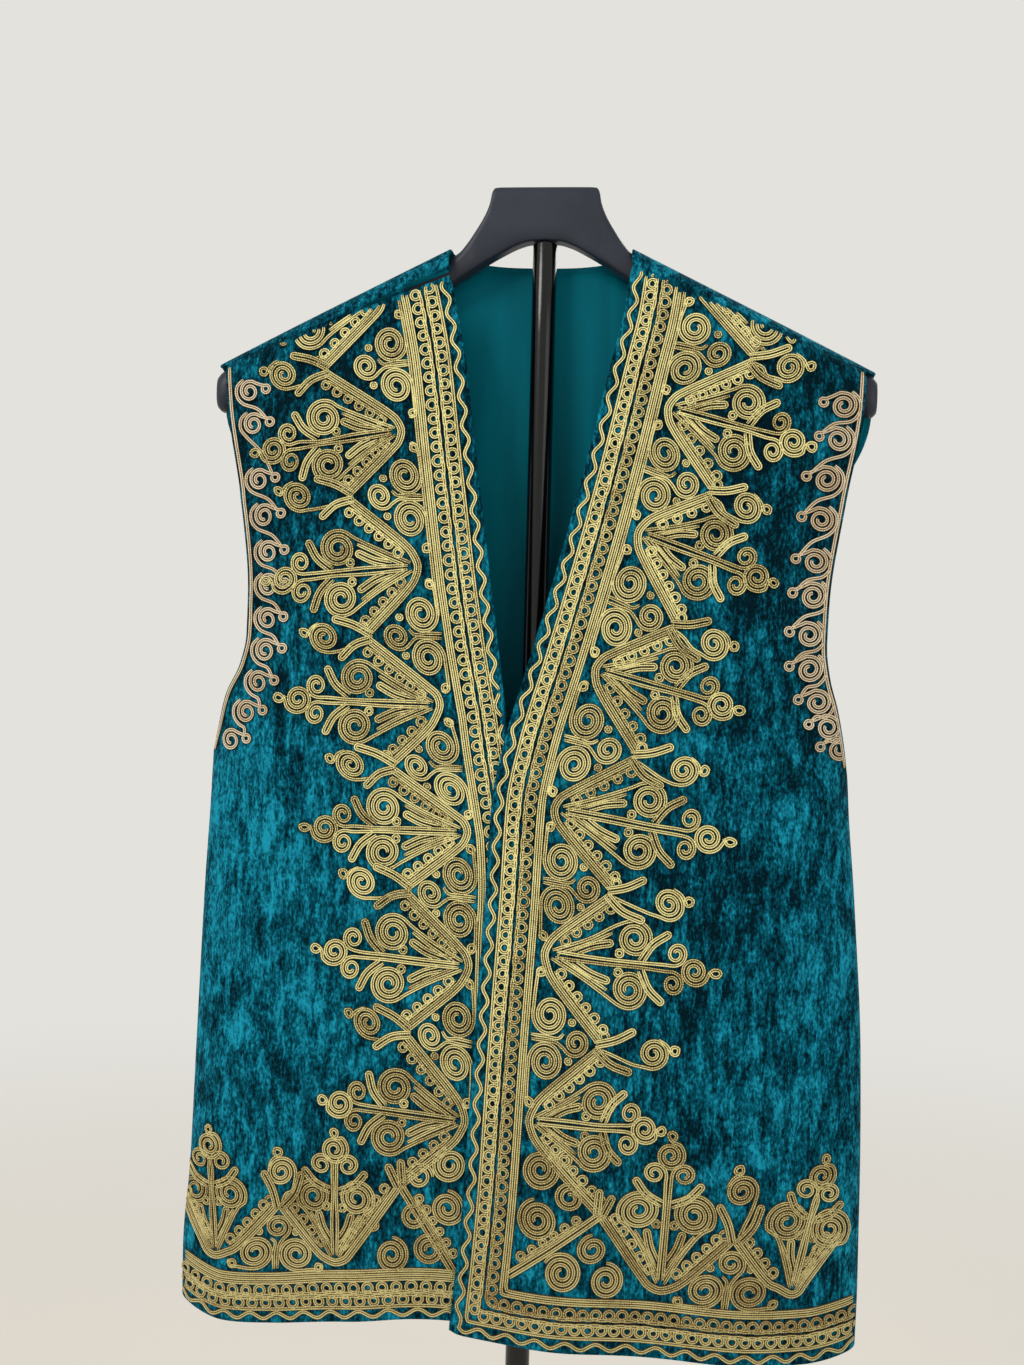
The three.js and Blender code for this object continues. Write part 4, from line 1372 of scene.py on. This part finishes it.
# The Vs along each front edge, from the top down: foot, tip of the palmette in it, tip of the flower above it
vRows = {
    "left": [
        {"foot": -86 + 163j, "tip": -186 + 148j, "above": -181 + 199j},
        {"foot": -72 + 74j, "tip": -175 + 63j, "above": -168 + 119j},
        {"foot": -55 - 16j, "tip": -164 - 14j, "above": -147 + 26j},
        {"foot": -35 - 97j, "tip": -144 - 98j, "above": -127 - 56j},
        {"foot": -32 - 184j, "tip": -134 - 177j, "above": -117 - 131j},
        {"foot": -32 - 284j, "tip": -127 - 275j, "above": -111 - 221j},
    ],
    "right": [
        {"foot": 81 + 180j, "tip": 174 + 156j, "above": 172 + 205j},
        {"foot": 64 + 99j, "tip": 152 + 68j, "above": 146 + 112j},
        {"foot": 39 + 11j, "tip": 132 - 14j, "above": 127 + 24j},
        {"foot": 15 - 79j, "tip": 128 - 98j, "above": 110 - 56j},
        {"foot": 11 - 172j, "tip": 121 - 182j, "above": 103 - 140j},
        {"foot": 4 - 278j, "tip": 89 - 283j, "above": 96 - 235j},
    ],
}
hemVs = {
    "left": {"feet": [-200 - 387j, -117 - 382j], "tips": [-208 - 304j, -120 - 297j], "between": -155 - 313j,
             "corner": -75 - 327j, "big": 11.4},
    "right": {"feet": [92 - 388j, 175 - 389j], "tips": [98 - 288j, 196 - 302j], "between": 144 - 308j,
              "corner": 52 - 338j, "big": 13.4},
}


def makeVs(side):
    sign = signOf[side]
    rows = vRows[side]
    pieces = []
    mirrored = side == "left"
    feet = [row["foot"] for row in rows]
    feet = [2 * feet[0] - feet[1] + sign * 2] + feet
    corner = hemVs[side]["corner"]
    crossings = []
    for above, below, row, reach in zip(feet, feet[1:], rows, border["crossing"]):
        middle = (above + below) / 2
        way = row["above"] - middle
        crossings.append(middle + way / abs(way) * reach)
    # the highest V is cut off by the shoulder seam
    top = Needlework(side, feet[0], feet[0] + rows[0]["tip"] - feet[1], palmette["length"], 1.0, mirrored)
    drawPalmette(top, [crossings[0] + 90j, crossings[0] + sign * 2], palmette["big"])
    crossings.append(corner - sign * 2)
    for i, row in enumerate(rows):
        ends = [crossings[i] + sign * 2, crossings[i + 1] + sign * 2]
        nodes = [f"front_{side}_palmette_{i + 1}"]
        name = f"{side}Palmette{i + 1}"
        pieces.append(makePalmette(name, side, row["foot"], row["tip"], ends, nodes, mirrored))
        middle = (feet[i] + feet[i + 1]) / 2
        nodes = [f"front_{side}_spandrel_{i + 1}"]
        foot = innerEdge(side, middle.imag)
        name = f"{side}Spandrel{i + 1}"
        above = None if i else top
        pieces.append(makeSpandrel(name, side, foot, row["above"], crossings[i], nodes, feet[i:i + 2], above))
    return pieces


cutArm = 34 + 40j  # from the outermost foot to where its arm meets the side seam


def makeHemVs(side):
    sign = signOf[side]
    spec = hemVs[side]
    feet, tips = spec["feet"], spec["tips"]
    pieces = []
    middle = (feet[0] + feet[1]) / 2
    way = spec["between"] - middle
    crossing = middle + way / abs(way) * border["hemCrossing"]
    names = ["hem_palmette_1", "hem_palmette_3"]
    outer = 0 if side == "left" else 1
    for i in (0, 1):
        ends = [crossing, spec["corner"]]
        if i == outer:
            ends[1] = feet[i] + complex(sign * cutArm.real, cutArm.imag)
        if (ends[0] - ends[1]).real > 0:
            ends = ends[::-1]
        nodes = [f"front_{side}_{names[i]}"]
        name = f"{side}HemPalmette{1 + 2 * i}"
        pieces.append(makePalmette(name, side, feet[i], tips[i], ends, nodes, False, spec["big"]))
    nodes = [f"front_{side}_hem_palmette_2"]
    foot = complex(middle.real, hem[side](middle.real) + border["inner"])
    pieces.append(makeSpandrel(f"{side}HemPalmette2", side, foot, spec["between"], crossing, nodes, feet))
    return pieces


cornerFoot = {"left": -38 - 384j, "right": -4 - 378j}
cornerCoils = {  # centre, radius, start in degrees, hand
    "right": [(15 - 309j, 13, 90, -1), (14 - 341j, 13, 100, 1), (30 - 374j, 12.5, 150, -1),
              (49 - 359j, 9.5, 90, 1), (58 - 379j, 11, 90, -1), (34 - 326j, 9.5, 30, 1),
              (31 - 302j, 5.5, 90, 1)],
    "left": [(-44 - 312j, 11.4, 90, 1), (-45 - 340j, 11.4, 90, -1), (-56 - 367j, 10, 60, 1),
             (-67 - 345j, 9, 90, -1), (-63 - 320j, 8.2, 0, 1), (-80 - 371j, 11, 90, -1),
             (-92 - 352j, 5, 90, 1)],
}


def makeCorner(side):
    sign = signOf[side]
    work = Needlework(side)
    corner = hemVs[side]["corner"]
    foot = cornerFoot[side]
    way = (corner - foot) / abs(corner - foot)
    arm = np.array([foot, corner + way * 6])
    for gap in (braid["pitch"] / 2, -braid["pitch"] / 2):
        work.run(beside(arm, gap), 0.3)
    inwards = 1j * way * sign
    rings = np.array([foot + way * 10, corner - way * 8]) + inwards * 6
    work.loops(rings, 8.2, 2.15, -sign, 0.15)
    for centre, radius, first, hand in cornerCoils[side]:
        work.run(centre + coilTurns(radius, first, hand, 2.2), 0.1)
    work.leaf((corner.real + sign * 1, corner.imag - 2), (corner.real + sign * 9, corner.imag + 13), 0.6)
    work.leaf((corner.real - sign * 1, corner.imag), (corner.real + sign * 0.5, corner.imag + 17), 0.7)
    return sewOn(side + "Corner", work, [f"front_{side}_corner_spandrel"])


armhole = {
    "edge": 2.3,  # of the straight braid's middle, from the cut edge
    "coil": {"left": 8.0, "right": 9.4},  # radius
    "bend": 2.5,  # radius of the small ring before each coil
    "round": [(60, 1.3), (20, 1.5), (-20, 1.4), (-60, 1.5)],  # the link to the next coil: degrees, and gap
}
armholeCoils = {
    "left": [-193 + 189j, -189.5 + 167j, -184.4 + 130j, -179.8 + 106j, -176.2 + 82j, -175.4 + 60j,
             -175.5 + 38j, -176.5 + 17j, -181 - 4j, -189 - 24j, -200 - 43j],
    "right": [196 + 183j, 193 + 161j, 186 + 135j, 183 + 109j, 180 + 82j, 179 + 60j, 177 + 35j, 178 + 13j,
              184 - 8j, 191 - 24j, 199 - 38j],
}


def besideCoil(centre, sign, degrees, reach):
    # a point at a distance from a coil's centre; 0 degrees is towards the armhole
    turn = math.radians(degrees)
    return centre + reach * complex(sign * math.cos(turn), math.sin(turn))


def makeArmhole(side):
    sign = signOf[side]
    work = Needlework(side)
    rise = np.linspace(230, -50, 90)
    edge = sign * (sideEdge[side](rise) - armhole["edge"]) + 1j * rise
    work.run(edge)
    line = sewOn(side + "ArmholeBraid", work, [f"front_{side}_armhole_braid"], "paleGold")
    work = Needlework(side)
    centres = armholeCoils[side]
    for i, centre in enumerate(centres):
        radius = armhole["coil"][side] * dice.uniform(0.95, 1.03)
        out = radius - 1.2
        ringAt = besideCoil(centre, sign, 172, radius + 3.6)
        around = np.degrees(np.linspace(0.6, -5.2, 9))
        lead = [besideCoil(ringAt, sign, degrees, armhole["bend"]) for degrees in around]
        lead += [besideCoil(centre, sign, *at) for at in ((135, out + 0.6), (105, out + 0.3))]
        turns = coilTurns(out, 80, -1, 2.0)
        turns = centre + (turns if sign > 0 else -turns.conjugate())
        work.run(np.concatenate([curve(lead), turns]), 0.1)
        if i + 1 < len(centres):
            after = centres[i + 1]
            link = [besideCoil(centre, sign, degrees, radius + gap) for degrees, gap in armhole["round"]]
            link.append((centre + after) / 2 + complex(-sign * 4.5, -1.0))
            link.append(after + complex(-sign * (radius + 2.0), radius * 0.35))
            work.run(curve(link), 0.3)
    scrolls = sewOn(side + "ArmholeScrolls", work, [f"front_{side}_armhole_scrolls"], "paleGold")
    return [line, scrolls]


for side in signOf:
    makeBorder(side)
    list(makeVs(side))
    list(makeHemVs(side))
    makeCorner(side)
    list(makeArmhole(side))
    print("braid sewn on the", side, "front")


studio = {
    "floorSize": 9000,  # millimetres
    "fadeFrom": 1.0,  # metres from the stand, where the floor starts to fade into the backdrop
    "fadeTo": 4.3,
    "floor": colour(228, 222, 214),
    "floorLight": colour(230, 226, 220),
    "world": (0.77, 0.76, 0.72, 1.0),
    "ambient": 1.0,
    # each light: where it is, what it looks at, its width, power and colour
    "key": ((-1.5, -2.0, 2.6), (0, 0, 1.1), 1.1, 34, (1.0, 0.97, 0.93)),
    "fill": ((1.9, -1.7, 1.5), (0, 0, 1.05), 1.5, 7, (0.93, 0.97, 1.0)),
    "rim": ((0.9, 1.7, 2.5), (0, 0, 1.2), 1.2, 10, (1.0, 1.0, 1.0)),
}


def makeLight(name, place, aim, size, power, tint):
    data = bpy.data.lights.new(name, "AREA")
    data.shape = "DISK"
    data.size = size
    data.energy = power
    data.color = tint
    light = bpy.data.objects.new(name, data)
    light.location = place
    light.rotation_euler = (Vector(aim) - Vector(place)).to_track_quat("-Z", "Y").to_euler()
    bpy.context.scene.collection.objects.link(light)


def makeStudio():
    half = studio["floorSize"] * mm / 2
    mesh = bpy.data.meshes.new("floor")
    corners = [(-half, -half, 0), (half, -half, 0), (half, half, 0), (-half, half, 0)]
    mesh.from_pydata(corners, [], [(0, 1, 2, 3)])
    floor = bpy.data.objects.new("floor", mesh)
    bpy.context.scene.collection.objects.link(floor)
    material, maker = startMaterial("paleFloor")
    place = maker.place()
    tone = (place.noise(3, 3.0).within(0.3, 0.7) * 0.3).blend(studio["floor"], studio["floorLight"])
    away = maker.node("ShaderNodeVectorMath", {"operation": "LENGTH"}, {0: place}, "Value")
    fade = 1 - away.within(studio["fadeFrom"], studio["fadeTo"])
    finishMaterial(maker, {"Base Color": tone, "Alpha": fade}, {"Roughness": 0.8, "Specular IOR Level": 0.2})
    mesh.materials.append(material)
    world = bpy.data.worlds.new("studio")
    world.use_nodes = True
    backdrop = world.node_tree.nodes["Background"]
    backdrop.inputs["Color"].default_value = studio["world"]
    backdrop.inputs["Strength"].default_value = studio["ambient"]
    bpy.context.scene.world = world
    bpy.context.scene.view_settings.view_transform = "Standard"
    for name in ("key", "fill", "rim"):
        makeLight(name, *studio[name])


makeStudio()
print("studio made")
